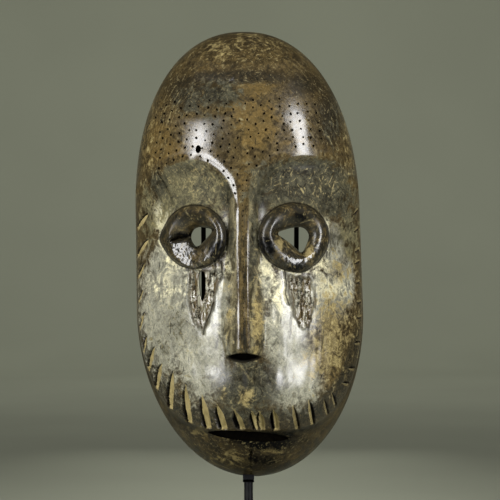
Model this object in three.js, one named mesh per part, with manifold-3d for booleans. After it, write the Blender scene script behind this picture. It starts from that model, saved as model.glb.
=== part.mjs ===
// A carved wooden mask with a long oval face, held up by a steel rod with a fork, on a flat foot.
// Millimetres. X points to the viewer's right, Y from the front to the back and Z up.
// The origin is the middle of the foot's underside.
import * as THREE from 'three';
import { mergeVertices } from 'three/addons/utils/BufferGeometryUtils.js';
import Module from 'manifold-3d';

const wasm = await Module();
wasm.setup();

const { clamp, degToRad, lerp, smoothstep } = THREE.MathUtils;

// Where the mask hangs over the foot.
const CHIN_ABOVE_FLOOR = 75;
const RIM_BEHIND_FOOT_MIDDLE = 24;

// The outline, seen from the front. Heights are taken from the lowest point of the chin.
const MASK_HEIGHT = 300;
const CHEEK_HALF_WIDTH = 76.5;
const TEMPLE_HALF_WIDTH = 75.8;
const SIDES_START = 112;
const SIDES_END = 176;
const CROWN_ROUNDNESS = 2.2;
const LEAN = 0.0233;
const MIDDLE_HEIGHT = 154;

// The shell, in front of the flat plane of its rim.
const SHELL_DEPTH = 68;
const LOWER_FULLNESS = 0.45;
const UPPER_FULLNESS = 0.35;
const HOLLOW_DEPTH = 54;
const RIM_WIDTH = 10;
const CHIN_SHELF = 27;
const FACE_RINGS = 11;
const UNDER_RINGS = 3;
const SHELL_SECTORS = 80;
const HOLLOW_RINGS = 10;
const HOLLOW_SECTORS = 48;

// The forms of the face.
const SOCKET_DEPTH = 8;
const SOCKET_TOP = 198;
const SOCKET_FOOT = 98;
const MUZZLE = { across: 2, height: 60, halfWidth: 34, halfHeight: 22, proud: 4.5 };
const NOSE_SWELL = { across: -1, height: 104, halfWidth: 27, halfHeight: 44, proud: 5.2 };
const TEMPLE = { across: 54, height: 236, halfWidth: 26, halfHeight: 42, proud: 2.6 };

// The edge where the face turns under to the chin and the sides. It is shared by the knife cuts and the mouth.
const EDGE_AT_SIDES = 0.975;
const EDGE_AT_CHIN = 0.765;
const EDGE_SPREAD = 23;
const EDGE_LIFT_AT_SIDES = 3.5;
const EDGE_LIFT_AT_CHIN = 5;

// The brow, from the left temple over both eyes to the right temple, as points across and up.
const LEFT_BROW = [[-71, 193], [-57.5, 205.5], [-44.5, 211.5], [-33, 213], [-20.3, 206.5], [-12.8, 198], [-9, 188.5]];
const RIGHT_BROW = [[0.2, 185], [3.8, 194.6], [10, 203.5], [18.5, 210.5], [31.5, 215], [46.5, 214.5], [59.5, 208.5],
  [70, 196]];

// The nose: a long ridge with a flat band along its top.
const NOSE_TOP = 200;
const NOSE_TIP = 84.5;
const NOSE_TIP_DEPTH = 77.5;
const NOSE_BAND = 6;
const NOSE_MIDDLE = -3.9;
const NOSE_FEET = [
  { height: 200, left: -11, right: 3.5 },
  { height: 184, left: -12, right: 5.5 },
  { height: 163, left: -13, right: 6.5 },
  { height: 138, left: -15, right: 8.5 },
  { height: 116, left: -17.2, right: 11 },
  { height: 95, left: -17, right: 10.8 },
  { height: 84.5, left: -14.5, right: 8 },
];
const NOSTRIL_PIT = { left: -14.5, right: 8, top: 86, bottom: 80.2, deep: 9 };

// The eyes: a raised ring round a funnel with a small pierced hole.
const EYE_RING_PROUD = 8;
const EYE_SECTORS = 30;
const LEFT_EYE = {
  middle: [-35.3, 161.3],
  outer: [21.0, 20.8],
  crestMiddle: [-36.0, 161.8],
  crest: [15.7, 15.9],
  corner: { angle: 183, reach: 2.2 },
  hole: [[-38, 161], [-36.4, 165.8], [-33, 167.9], [-28.5, 167.4], [-22.6, 166], [-27, 160.5], [-33.4, 154],
    [-36.4, 157]],
};
const RIGHT_EYE = {
  middle: [29.7, 161.3],
  outer: [23.2, 22.2],
  crestMiddle: [31.4, 163.0],
  crest: [17.0, 16.6],
  corner: { angle: 283, reach: 1.4 },
  hole: [[17.6, 163.8], [25.3, 166.5], [30.6, 167.7], [35, 167.8], [38, 166], [40, 162.5], [39, 158], [35.2, 149.8],
    [31, 154], [24, 159.5]],
};

// The mouth, a deep slit, and the other holes.
const MOUTH = { left: [-26.8, 33], right: [27.4, 29], above: 3.4, below: 3.7, deep: 17, rise: -1, sectors: 28 };
const CRACK = [[-32.3, 139], [-28, 139], [-27.7, 127], [-28.7, 121], [-30.6, 118.5], [-32.3, 130]];
const NAIL_HOLE = { middle: [-32.7, 218.3], halfWidth: 2, halfHeight: 2.9, deep: 7 };

// Two patches below the eyes where the wood has rotted away.
const ROT_DEPTH = 1.7;
const LEFT_ROT = [[-39, 139.5], [-39.5, 118], [-37, 108.5], [-29.5, 99.5], [-24, 110.5], [-21.5, 122], [-16, 139]];
const RIGHT_ROT = [[24.6, 137.5], [26, 124], [29, 112.5], [32, 104], [36.6, 98.5], [40.5, 106], [44, 119], [41, 134]];

// The knife cuts round the lower face: directions in degrees from the middle of the face, lengths as shares of the
// way from there to the outline, and by how many degrees they slant on their way out.
const DEEP_CUTS = [[161, 0.11, 8.5], [175, 0.108, 8.5], [188.5, 0.065, 6], [201.5, 0.05, 4], [211.3, 0.065, 4.5],
  [220.3, 0.055, 3.5], [225.8, 0.1, 3.4], [232.2, 0.1, 3.2], [237.6, 0.13, 5], [244.2, 0.11, 5.6],
  [251.2, 0.105, 4.7], [257.3, 0.085, 3.6], [263.6, 0.072, 2.7], [269.5, 0.075, 1.6], [272.3, 0.075, 0.4],
  [277.2, 0.085, 0], [284.6, 0.1, -0.4], [290.6, 0.1, -1.4], [295.5, 0.07, -1], [299, 0.065, -1]];
const SMALL_CUTS = [304, 309, 317.5, 327, 333, 342, 352, 358, 368.7, 377.6];
const SMALL_CUT = [0.05, 1.5];

// The stand.
const POST_DIAMETER = 6;
const PRONG_DIAMETER = 3.2;
const LEFT_PRONG = -30;
const RIGHT_PRONG = 32;
const CROSSBAR_HEIGHT = 40;
const PRONG_TOP = 230;
const POST_BEHIND_RIM = 4;
const CHIN_REST = { width: 7.6, thick: 2.5, lip: 3, reach: 18 };
const FOOT = { width: 120, depth: 110, thick: 12, bevel: 1.5 };
const FIT_GAP = 0.3;
const PRONG_TIP_GAP = 1.2;

const wood = new THREE.MeshStandardMaterial({ color: 0x4d3d28, roughness: 0.42, metalness: 0 });
const blackSteel = new THREE.MeshStandardMaterial({ color: 0x141415, roughness: 0.45, metalness: 0.6 });

// Half the width of the outline at a height.
function halfWidth(height) {
  if (height > SIDES_END) {
    const rise = clamp((height - SIDES_END) / (MASK_HEIGHT - SIDES_END), 0, 1);
    return TEMPLE_HALF_WIDTH * Math.pow(1 - Math.pow(rise, CROWN_ROUNDNESS), 1 / CROWN_ROUNDNESS);
  }
  if (height < SIDES_START) {
    const fall = clamp((SIDES_START - height) / SIDES_START, 0, 1);
    return CHEEK_HALF_WIDTH * Math.sqrt(1 - fall * fall);
  }
  return lerp(CHEEK_HALF_WIDTH, TEMPLE_HALF_WIDTH, (height - SIDES_START) / (SIDES_END - SIDES_START));
}

// The mask leans a little to one side, so its middle line moves with the height.
function middleLine(height) {
  return (MIDDLE_HEIGHT - height) * LEAN;
}

// How far the outline is from the middle of the face, in a direction.
function reach(angle) {
  let near = 0;
  let far = MASK_HEIGHT;
  while (far - near > 0.001) {
    const length = (near + far) / 2;
    const height = MIDDLE_HEIGHT + length * Math.sin(angle);
    const inside = height > 0 && height < MASK_HEIGHT && Math.abs(length * Math.cos(angle)) < halfWidth(height);
    if (inside) near = length;
    else far = length;
  }
  return near;
}

// How wide the flat rim is in a direction. It widens to the shelf behind the chin.
function rimWidth(angle) {
  return RIM_WIDTH + (CHIN_SHELF - RIM_WIDTH) * Math.pow(Math.max(0, -Math.sin(angle)), 6);
}

// The place on the front that is a share of the way from the middle of the face to the outline.
function placeAt(angle, share, inset = 0) {
  const length = share * (reach(angle) - inset);
  const height = MIDDLE_HEIGHT + length * Math.sin(angle);
  return [length * Math.cos(angle) + middleLine(height), height];
}

// The other way round: the direction of a place, and what share of the way to the outline it is.
function directionAndShare(across, height, inset = () => 0) {
  const x = across - middleLine(height);
  const z = height - MIDDLE_HEIGHT;
  const angle = Math.atan2(z, x);
  return { angle, share: Math.min(1, Math.hypot(x, z) / (reach(angle) - inset(angle))) };
}

// How close a direction is to the chin, from 0 to 1.
function chinward(angle, spread) {
  const fromChin = ((angle * 180 / Math.PI + 450) % 360 + 180) % 360 - 180;
  return Math.exp(-Math.pow(fromChin / spread, 2));
}

// What share of the way to the outline the edge of the face is.
function edgeShare(angle) {
  return lerp(EDGE_AT_SIDES, EDGE_AT_CHIN, chinward(angle, EDGE_SPREAD));
}

// How much further out than the edge its slope ends.
function edgeRun(angle) {
  return Math.min(0.035, 0.4 * (1 - edgeShare(angle)));
}

// The face swells towards its edge and drops beyond it.
function edgeLift(angle, share) {
  const edge = edgeShare(angle);
  const low = smoothstep(-Math.sin(angle), 0.1, 0.6);
  const swell = smoothstep(share, edge - 0.3, edge);
  const lift = lerp(EDGE_LIFT_AT_SIDES, EDGE_LIFT_AT_CHIN, chinward(angle, 2 * EDGE_SPREAD));
  return lift * low * swell * (1 - smoothstep(share, edge, edge + edgeRun(angle)));
}

// The shell is a dome, fuller above and below, where the face hardly falls back towards its edge.
function shellDepth(angle, share) {
  const upright = Math.sin(angle);
  const power = 2 + (upright > 0 ? UPPER_FULLNESS : LOWER_FULLNESS) * upright * upright;
  return SHELL_DEPTH * Math.pow(1 - Math.pow(share, power), 1 / power);
}

function mound(form, across, height) {
  const x = (across - form.across) / form.halfWidth;
  const z = (height - form.height) / form.halfHeight;
  return form.proud * Math.exp(-x * x - z * z);
}

// The forehead follows the shell, and swells a little at the right temple.
function foreheadDepth(across, height) {
  const { angle, share } = directionAndShare(across, height);
  return shellDepth(angle, share) + mound(TEMPLE, across, height) * (1 - Math.pow(share, 4));
}

// The face lies back under the brow, comes forward down the cheeks and swells at the muzzle.
function faceDepth(across, height) {
  const { angle, share } = directionAndShare(across, height);
  const socket = SOCKET_DEPTH * smoothstep(height, SOCKET_FOOT, SOCKET_TOP);
  const swells = mound(MUZZLE, across, height) + mound(NOSE_SWELL, across, height);
  const forms = (swells - socket) * (1 - Math.pow(share, 8));
  return shellDepth(angle, share) + forms + edgeLift(angle, share);
}

function solidFrom(geometry) {
  const bare = geometry.clone();
  bare.deleteAttribute('normal');
  bare.deleteAttribute('uv');
  const merged = mergeVertices(bare, 1e-4);
  return new wasm.Manifold(new wasm.Mesh({
    numProp: 3,
    vertProperties: new Float32Array(merged.attributes.position.array),
    triVerts: new Uint32Array(merged.index.array),
  }));
}

function geometryFrom(solid) {
  const mesh = solid.getMesh();
  const geometry = new THREE.BufferGeometry();
  geometry.setAttribute('position', new THREE.BufferAttribute(new Float32Array(mesh.vertProperties), 3));
  geometry.setIndex(new THREE.BufferAttribute(new Uint32Array(mesh.triVerts), 1));
  geometry.computeVertexNormals();
  return geometry;
}

// A closed solid from rings of points, which all run the same way and have the same number of points.
function solidFromRings(rings) {
  const count = rings[0].length;
  const vertices = rings.flat();
  const faces = [];
  for (let row = 0; row + 1 < rings.length; row += 1) {
    for (let k = 0; k < count; k += 1) {
      const a = row * count + k;
      const b = row * count + (k + 1) % count;
      faces.push(a, b, a + count, b, b + count, a + count);
    }
  }
  const firstMiddle = vertices.push(middleOf(rings[0])) - 1;
  const lastMiddle = vertices.push(middleOf(rings[rings.length - 1])) - 1;
  const lastRow = (rings.length - 1) * count;
  for (let k = 0; k < count; k += 1) {
    faces.push(firstMiddle, (k + 1) % count, k);
    faces.push(lastMiddle, lastRow + k, lastRow + (k + 1) % count);
  }
  const geometry = new THREE.BufferGeometry();
  geometry.setAttribute('position', new THREE.Float32BufferAttribute(vertices.flat(), 3));
  geometry.setIndex(faces);
  const solid = solidFrom(geometry);
  return solid.volume() > 0 ? solid : solidFromRings([...rings].reverse());
}

function middleOf(ring) {
  return [0, 1, 2].map((axis) => ring.reduce((sum, point) => sum + point[axis], 0) / ring.length);
}

// A dome over the outline. Its first ring lies at the depth of the back and its last one close to the middle.
function dome(depthAt, sharesAt, { sectorCount, inset, back }) {
  const spokes = [];
  for (let k = 0; k < sectorCount; k += 1) {
    const angle = 2 * Math.PI * k / sectorCount;
    const spoke = sharesAt(angle).map((share) => {
      const [across, height] = placeAt(angle, share, inset(angle));
      return [across, -depthAt(across, height), height];
    });
    const [across, , height] = spoke[0];
    spokes.push([[across, -back, height], ...spoke]);
  }
  return solidFromRings(spokes[0].map((point, row) => spokes.map((spoke) => spoke[row])));
}

// Shares of the way out that divide the bow of the shell evenly between two shares.
function evenShares(from, to, count) {
  const turns = Array.from({ length: count }, (unused, row) => lerp(Math.asin(from), Math.asin(to), row / count));
  return turns.map(Math.sin);
}

// The front has rings on its edge and at the end of the edge's slope.
function frontShares(angle) {
  const edge = edgeShare(angle);
  const slopeEnd = edge + edgeRun(angle);
  return [...evenShares(1, slopeEnd, UNDER_RINGS), slopeEnd, ...evenShares(edge, 0.03, FACE_RINGS)];
}

function faceDome() {
  return dome(faceDepth, frontShares, { sectorCount: SHELL_SECTORS, inset: () => 0, back: -0.5 });
}

// The forehead stands a hair outside the face dome where both meet the rim, so that one clearly covers the other.
function foreheadDome() {
  return dome(foreheadDepth, frontShares, { sectorCount: SHELL_SECTORS, inset: () => -0.4, back: -0.5 });
}

function hollowDepth(across, height) {
  const { share } = directionAndShare(across, height, rimWidth);
  return HOLLOW_DEPTH * Math.sqrt(1 - share * share);
}

function hollow() {
  const shares = () => evenShares(1, 0.03, HOLLOW_RINGS);
  return dome(hollowDepth, shares, { sectorCount: HOLLOW_SECTORS, inset: rimWidth, back: -6 });
}

// A straight block through the mask, from an outline of points across and up.
function block(outline, backDepth, frontDepth) {
  const shape = new THREE.Shape(outline.map(([across, height]) => new THREE.Vector2(across, height)));
  const geometry = new THREE.ExtrudeGeometry(shape, { depth: frontDepth - backDepth, bevelEnabled: false });
  geometry.translate(0, 0, backDepth);
  geometry.rotateX(Math.PI / 2);
  return solidFrom(geometry);
}

function smoothLine(points, steps) {
  const line = new THREE.SplineCurve(points.map(([across, height]) => new THREE.Vector2(across, height)));
  return line.getPoints(steps).map((point) => [point.x, point.y]);
}

// Everything above the brow, which keeps the forehead's depth.
function browBlock() {
  const side = CHEEK_HALF_WIDTH + 20;
  const brow = [...smoothLine(LEFT_BROW, 26), ...smoothLine(RIGHT_BROW, 26)];
  const outline = [[-side, 188], ...brow, [side, 190], [side, MASK_HEIGHT + 20], [-side, MASK_HEIGHT + 20]];
  return block(outline, -1, SHELL_DEPTH + 30);
}

function nose() {
  const rootDepth = foreheadDepth(NOSE_MIDDLE, NOSE_TOP) - 0.5;
  const rings = NOSE_FEET.map(({ height, left, right }) => {
    const down = (NOSE_TOP - height) / (NOSE_TOP - NOSE_TIP);
    const band = lerp(rootDepth, NOSE_TIP_DEPTH, down);
    const middle = NOSE_MIDDLE + down * 0.8;
    const wallLeft = lerp(middle - NOSE_BAND / 2, left, 0.6);
    const wallRight = lerp(middle + NOSE_BAND / 2, right, 0.6);
    const leftFoot = faceDepth(left, height) - 1;
    const rightFoot = faceDepth(right, height) - 1;
    const buried = Math.min(leftFoot, rightFoot) - 5;
    return [
      [left, -leftFoot, height],
      [wallLeft, -lerp(leftFoot, band, 0.5), height],
      [middle - NOSE_BAND / 2, -band, height],
      [middle + NOSE_BAND / 2, -band, height],
      [wallRight, -lerp(rightFoot, band, 0.5), height],
      [right, -rightFoot, height],
      [right, -buried, height],
      [left, -buried, height],
    ];
  });
  return solidFromRings(rings);
}

function nostrilPit() {
  const { left, right, top, bottom, deep } = NOSTRIL_PIT;
  const middle = (left + right) / 2;
  const depth = faceDepth(middle, bottom);
  const outline = smoothLine([[left, top], [middle, bottom], [right, top]], 8);
  return block(outline, depth - deep, depth + 20);
}

// A ring round the eye, as rows from its outer foot over the crest and down into the funnel.
function eyeRing(eye) {
  const rows = [
    { on: 'outer', scale: 1.05, proud: -7 },
    { on: 'outer', scale: 1.05, proud: -2.5 },
    { on: 'outer', scale: 0.96, proud: 0.55 * EYE_RING_PROUD },
    { on: 'crest', scale: 1.03, proud: 0.97 * EYE_RING_PROUD },
    { on: 'crest', scale: 0.9, proud: 0.95 * EYE_RING_PROUD },
    { on: 'crest', scale: 0.68, proud: 0.42 * EYE_RING_PROUD },
    { on: 'crest', scale: 0.4, proud: 0 },
  ];
  const rings = rows.map(({ on, scale, proud }) => {
    const [middleX, middleZ] = on === 'outer' ? eye.middle : eye.crestMiddle;
    const ring = [];
    for (let k = 0; k < EYE_SECTORS; k += 1) {
      const angle = 2 * Math.PI * k / EYE_SECTORS;
      const away = Math.abs(((angle * 180 / Math.PI - eye.corner.angle + 540) % 360) - 180) / 16;
      const corner = on === 'outer' ? eye.corner.reach * Math.exp(-away * away) : 0;
      const across = middleX + (eye[on][0] * scale + corner) * Math.cos(angle);
      const height = middleZ + (eye[on][1] * scale + corner) * Math.sin(angle);
      ring.push([across, -(faceDepth(across, height) + proud), height]);
    }
    return ring;
  });
  return solidFromRings(rings);
}

function mouth() {
  const outline = mouthOutline();
  const lipDepth = faceDepth((MOUTH.left[0] + MOUTH.right[0]) / 2, MOUTH.left[1] + MOUTH.above);
  const ringAt = (depth) => {
    const rise = MOUTH.rise * (lipDepth - depth) / MOUTH.deep;
    return outline.map(([across, height]) => [across, -depth, height + rise]);
  };
  return solidFromRings([ringAt(lipDepth - MOUTH.deep), ringAt(lipDepth + MOUTH.deep)]);
}

// A long slit with blunt ends, as points across and up.
function mouthOutline() {
  const outline = [];
  for (let k = 0; k < MOUTH.sectors; k += 1) {
    const turn = 2 * Math.PI * k / MOUTH.sectors;
    const along = -Math.cos(turn);
    const swell = Math.pow(Math.max(0, 1 - Math.pow(Math.abs(along), 2.4)), 0.7);
    const offset = (Math.sin(turn) > 0 ? MOUTH.above : -MOUTH.below) * swell;
    const [across, height] = [0, 1].map((axis) => lerp(MOUTH.left[axis], MOUTH.right[axis], (along + 1) / 2));
    outline.push([across, height + offset]);
  }
  return outline;
}

function nailHole() {
  const { middle, halfWidth: wide, halfHeight: tall, deep } = NAIL_HOLE;
  const depth = foreheadDepth(...middle);
  const outline = [[-wide, 0], [-wide * 0.4, tall], [wide, tall * 0.7], [wide * 0.8, -tall * 0.8], [-wide * 0.5, -tall]];
  return block(outline.map(([x, z]) => [middle[0] + x, middle[1] + z]), depth - deep, depth + 10);
}

// A shallow bed whose floor follows the face, sunk below it.
function rotBed(outline) {
  const centre = [0, 1].map((axis) => outline.reduce((sum, point) => sum + point[axis], 0) / outline.length);
  const ringAt = (scale, lift) => outline.map((point) => {
    const [across, height] = [0, 1].map((axis) => lerp(centre[axis], point[axis], scale));
    return [across, -(faceDepth(across, height) + lift), height];
  });
  return solidFromRings([ringAt(0.5, -ROT_DEPTH), ringAt(0.86, -ROT_DEPTH), ringAt(1, -0.2), ringAt(1.1, 7)]);
}

function surfacePoint(angle, share) {
  const [across, height] = placeAt(angle, share);
  return new THREE.Vector3(across, -faceDepth(across, height), height);
}

// One V cut, from its shallow inner end to its deep end at the edge of the face.
function knifeCut([degrees, length, slant], width, deep) {
  const endDegrees = degrees + slant;
  const endShare = edgeShare(degToRad(endDegrees));
  const start = surfacePoint(degToRad(degrees), endShare - length);
  const end = surfacePoint(degToRad(endDegrees), endShare);
  const along = end.clone().sub(start).normalize();
  const beside = surfacePoint(degToRad(degrees - 5), endShare - length / 2);
  const outward = beside.sub(start).cross(along).normalize();
  if (outward.y > 0) outward.negate();
  const across = new THREE.Vector3().crossVectors(along, outward);
  const lift = 6;
  const section = (place, half, depth) => {
    const spread = Math.min(half * (1 + lift / depth), half * 2.5);
    const high = place.clone().addScaledVector(outward, lift);
    return [
      high.clone().addScaledVector(across, spread),
      place.clone().addScaledVector(across, half).addScaledVector(outward, 0.3),
      place.clone().addScaledVector(outward, -depth),
      place.clone().addScaledVector(across, -half).addScaledVector(outward, 0.3),
      high.clone().addScaledVector(across, -spread),
    ].map((point) => point.toArray());
  };
  const past = end.clone().addScaledVector(along, 2.5);
  return solidFromRings([section(start, 0.8, 0.4), section(end, width / 2, deep), section(past, width / 2, deep)]);
}

function knifeCuts() {
  const deepCuts = DEEP_CUTS.map((cut) => {
    if (cut[0] > 240) return knifeCut(cut, 4.6, 2.8);
    return cut[0] < 205 ? knifeCut(cut, 4.6, 2.2) : knifeCut(cut, 7, 3.6);
  });
  const smallCuts = SMALL_CUTS.map((degrees) => knifeCut([degrees, ...SMALL_CUT], 4.5, 2.2));
  return [...deepCuts, ...smallCuts];
}

function maskSolid() {
  const forehead = foreheadDome().intersect(browBlock());
  let solid = faceDome().add(forehead).add(nose());
  for (const eye of [LEFT_EYE, RIGHT_EYE]) {
    solid = solid.add(eyeRing(eye));
  }
  const cuts = [
    hollow(),
    block(LEFT_EYE.hole, -5, SHELL_DEPTH + 20),
    block(RIGHT_EYE.hole, -5, SHELL_DEPTH + 20),
    block(CRACK, -5, SHELL_DEPTH + 20),
    mouth(),
    nostrilPit(),
    nailHole(),
    rotBed(LEFT_ROT),
    rotBed(RIGHT_ROT),
    ...knifeCuts(),
  ];
  for (const cut of cuts) {
    solid = solid.subtract(cut);
  }
  return solid;
}

// A round bar along straight stretches with small bends.
function bar(points, diameter, sides) {
  const path = new THREE.CurvePath();
  const places = points.map((point) => new THREE.Vector3(...point));
  for (let k = 0; k + 1 < places.length; k += 1) {
    path.add(new THREE.LineCurve3(places[k], places[k + 1]));
  }
  const section = new THREE.Shape();
  for (let k = 0; k < sides; k += 1) {
    const angle = 2 * Math.PI * (k + 0.5) / sides;
    const [x, y] = [Math.cos(angle) * diameter / 2, Math.sin(angle) * diameter / 2];
    if (k === 0) section.moveTo(x, y);
    else section.lineTo(x, y);
  }
  const curve = new THREE.CatmullRomCurve3(places, false, 'catmullrom', 0.05);
  return new THREE.ExtrudeGeometry(section, { steps: places.length * 6, extrudePath: curve });
}

function standRod() {
  const postTop = CHIN_ABOVE_FLOOR + CROSSBAR_HEIGHT;
  const postY = RIM_BEHIND_FOOT_MIDDLE + POST_BEHIND_RIM;
  const postLength = postTop - FOOT.thick - FIT_GAP;
  const post = new THREE.CylinderGeometry(POST_DIAMETER / 2, POST_DIAMETER / 2, postLength, 20);
  post.rotateX(Math.PI / 2);
  post.translate(0, postY, FOOT.thick + FIT_GAP + postLength / 2);
  const prongTopZ = CHIN_ABOVE_FLOOR + PRONG_TOP;
  const tipY = (across) => {
    const wall = hollowDepth(across, PRONG_TOP + PRONG_DIAMETER);
    return RIM_BEHIND_FOOT_MIDDLE - wall + PRONG_DIAMETER / 2 + PRONG_TIP_GAP;
  };
  const fork = bar([
    [LEFT_PRONG, tipY(LEFT_PRONG), prongTopZ],
    [LEFT_PRONG, postY, postTop + 8],
    [LEFT_PRONG + 8, postY, postTop - 2],
    [RIGHT_PRONG - 8, postY, postTop - 2],
    [RIGHT_PRONG, postY, postTop + 8],
    [RIGHT_PRONG, tipY(RIGHT_PRONG), prongTopZ],
  ], PRONG_DIAMETER, 10);
  return solidFrom(post).add(solidFrom(fork)).add(chinRest(postY));
}

// A tab that the chin stands on, with a small lip in front of it.
function chinRest(postY) {
  const { width, thick, lip, reach: forward } = CHIN_REST;
  const top = CHIN_ABOVE_FLOOR - FIT_GAP;
  const front = RIM_BEHIND_FOOT_MIDDLE - forward;
  const tabDepth = postY - front;
  const tab = new THREE.BoxGeometry(width, tabDepth, thick);
  tab.translate(0, front + tabDepth / 2, top - thick / 2);
  const lipPlate = new THREE.BoxGeometry(width, thick, thick + lip);
  lipPlate.translate(0, front + thick / 2, top - thick + (thick + lip) / 2);
  return solidFrom(tab).add(solidFrom(lipPlate));
}

function standFoot() {
  const { width, depth, thick, bevel } = FOOT;
  const half = [width / 2 - bevel, depth / 2 - bevel];
  const outline = new THREE.Shape([
    new THREE.Vector2(-half[0], -half[1]),
    new THREE.Vector2(half[0], -half[1]),
    new THREE.Vector2(half[0], half[1]),
    new THREE.Vector2(-half[0], half[1]),
  ]);
  const plate = new THREE.ExtrudeGeometry(outline, {
    depth: thick - 2 * bevel,
    bevelSize: bevel,
    bevelThickness: bevel,
    bevelSegments: 2,
  });
  plate.translate(0, 0, bevel);
  return plate;
}

function piece(name, geometry, material) {
  const mesh = new THREE.Mesh(geometry, material);
  mesh.name = name;
  return mesh;
}

const mask = piece('mask', geometryFrom(maskSolid()), wood);
mask.position.set(0, RIM_BEHIND_FOOT_MIDDLE, CHIN_ABOVE_FLOOR);

const object = new THREE.Group();
object.add(mask);
object.add(piece('stand_rod', geometryFrom(standRod()), blackSteel));
object.add(piece('stand_foot', standFoot(), blackSteel));

export default object;
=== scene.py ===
"""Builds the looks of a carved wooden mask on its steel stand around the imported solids.

The forms of the mask are worked out in millimetres on the mask itself: across to the viewer's right, depth
in front of the rim and height above the chin. They become metres in the frame's axes when a mesh is made.
"""

import math

import bmesh
import bpy
import numpy as np
from bpy.props import FloatProperty, FloatVectorProperty, PointerProperty
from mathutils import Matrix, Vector
from mathutils.geometry import delaunay_2d_cdt
from mathutils.kdtree import KDTree


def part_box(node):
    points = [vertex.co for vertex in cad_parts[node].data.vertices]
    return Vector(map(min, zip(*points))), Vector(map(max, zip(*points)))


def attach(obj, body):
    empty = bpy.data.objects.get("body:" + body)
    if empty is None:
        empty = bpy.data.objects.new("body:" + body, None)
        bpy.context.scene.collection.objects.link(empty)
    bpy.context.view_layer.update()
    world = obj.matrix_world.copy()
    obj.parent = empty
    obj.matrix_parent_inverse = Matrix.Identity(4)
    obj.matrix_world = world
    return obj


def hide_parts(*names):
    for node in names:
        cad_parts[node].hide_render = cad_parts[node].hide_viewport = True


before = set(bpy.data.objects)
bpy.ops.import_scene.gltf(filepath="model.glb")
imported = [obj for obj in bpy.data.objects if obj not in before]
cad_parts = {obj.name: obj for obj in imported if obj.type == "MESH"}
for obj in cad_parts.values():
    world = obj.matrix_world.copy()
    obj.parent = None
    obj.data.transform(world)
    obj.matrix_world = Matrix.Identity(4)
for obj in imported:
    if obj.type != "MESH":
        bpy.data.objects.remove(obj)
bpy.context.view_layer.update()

bl_info = {
    "name": "Carved Mask on a Stand",
    "version": (1, 0, 0),
    "blender": (4, 5, 0),
    "location": "View3D > Sidebar > Carved Mask",
    "description": "Builds a carved wooden mask and its steel stand from named sizes",
    "category": "Add Mesh",
}

MM = 0.001

# Where the mask is in the frame. The back of its rim lies a little behind the plane that depths start from.
RIM_BACK = 0.5
MASK_LOW, MASK_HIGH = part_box("mask")
CHIN_Z = MASK_LOW.z / MM
RIM_Y = MASK_HIGH.y / MM - RIM_BACK

# The outline, seen from the front.
MASK_HEIGHT = 300
CHEEK_HALF_WIDTH = 76.5
TEMPLE_HALF_WIDTH = 75.8
SIDES_START = 112
SIDES_END = 176
CROWN_ROUNDNESS = 2.2
LEAN = 0.0233
MIDDLE_HEIGHT = 154

# The shell.
SHELL_DEPTH = 68
LOWER_FULLNESS = 0.45
UPPER_FULLNESS = 0.35
HOLLOW_DEPTH = 54
RIM_WIDTH = 10
CHIN_SHELF = 27

# The forms of the face.
SOCKET_DEPTH = 8
SOCKET_TOP = 198
SOCKET_FOOT = 98
MUZZLE = {"across": 2, "height": 60, "half_width": 34, "half_height": 22, "proud": 4.5}
NOSE_SWELL = {"across": -1, "height": 104, "half_width": 27, "half_height": 44, "proud": 5.2}
TEMPLE = {"across": 54, "height": 236, "half_width": 26, "half_height": 42, "proud": 2.6}
EDGE_AT_SIDES = 0.975
EDGE_AT_CHIN = 0.765
EDGE_SPREAD = 23
EDGE_LIFT_AT_SIDES = 3.5
EDGE_LIFT_AT_CHIN = 5

# The brow over both eyes, as points across and up, and the rounding of its step.
LEFT_BROW = [(-71, 193), (-57.5, 205.5), (-44.5, 211.5), (-33, 213), (-20.3, 206.5), (-12.8, 198),
             (-9, 188.5)]
RIGHT_BROW = [(0.2, 185), (3.8, 194.6), (10, 203.5), (18.5, 210.5), (31.5, 215), (46.5, 214.5), (59.5, 208.5),
              (70, 196)]
BROW_FALL = 8.5
BROW_RIDGE_FALL = 5
BROW_BEVEL = 4.5
BEVEL_SLOPE = 0.37
BROW_ROOT = [(-6.9, 176), (-6.1, 158), (-0.9, 158), (-0.6, 176)]
BROW_ENDS = (188, 190)

# The nose, with a flat band along its top.
NOSE_TOP = 200
NOSE_TIP = 84.5
NOSE_END = 86
NOSE_TIP_DEPTH = 77.5
NOSE_BAND = 4.6
NOSE_BEVEL = 1.4
NOSE_MIDDLE = -3.9
NOSE_DRIFT = 0.8
NOSE_HEIGHTS = [84.5, 95, 116, 138, 163, 184, 200]
NOSE_LEFT = [-14.5, -17, -17.2, -15, -13, -12, -11]
NOSE_RIGHT = [8, 10.8, 11, 8.5, 6.5, 5.5, 3.5]
NOSE_FALL = 1.3
NOSE_ROOT_SHARE = 0.955
NOSE_GROOVE = 0.25
NOSE_ARCH = 2.6
NOSE_TIP_ROUNDING = 1.6
# The pit under the nose is sunk, and painted near black as shade.
NOSTRIL_PIT = {"left": -14.5, "right": 8, "top": 86, "bottom": 80.2, "deep": 9}

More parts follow.
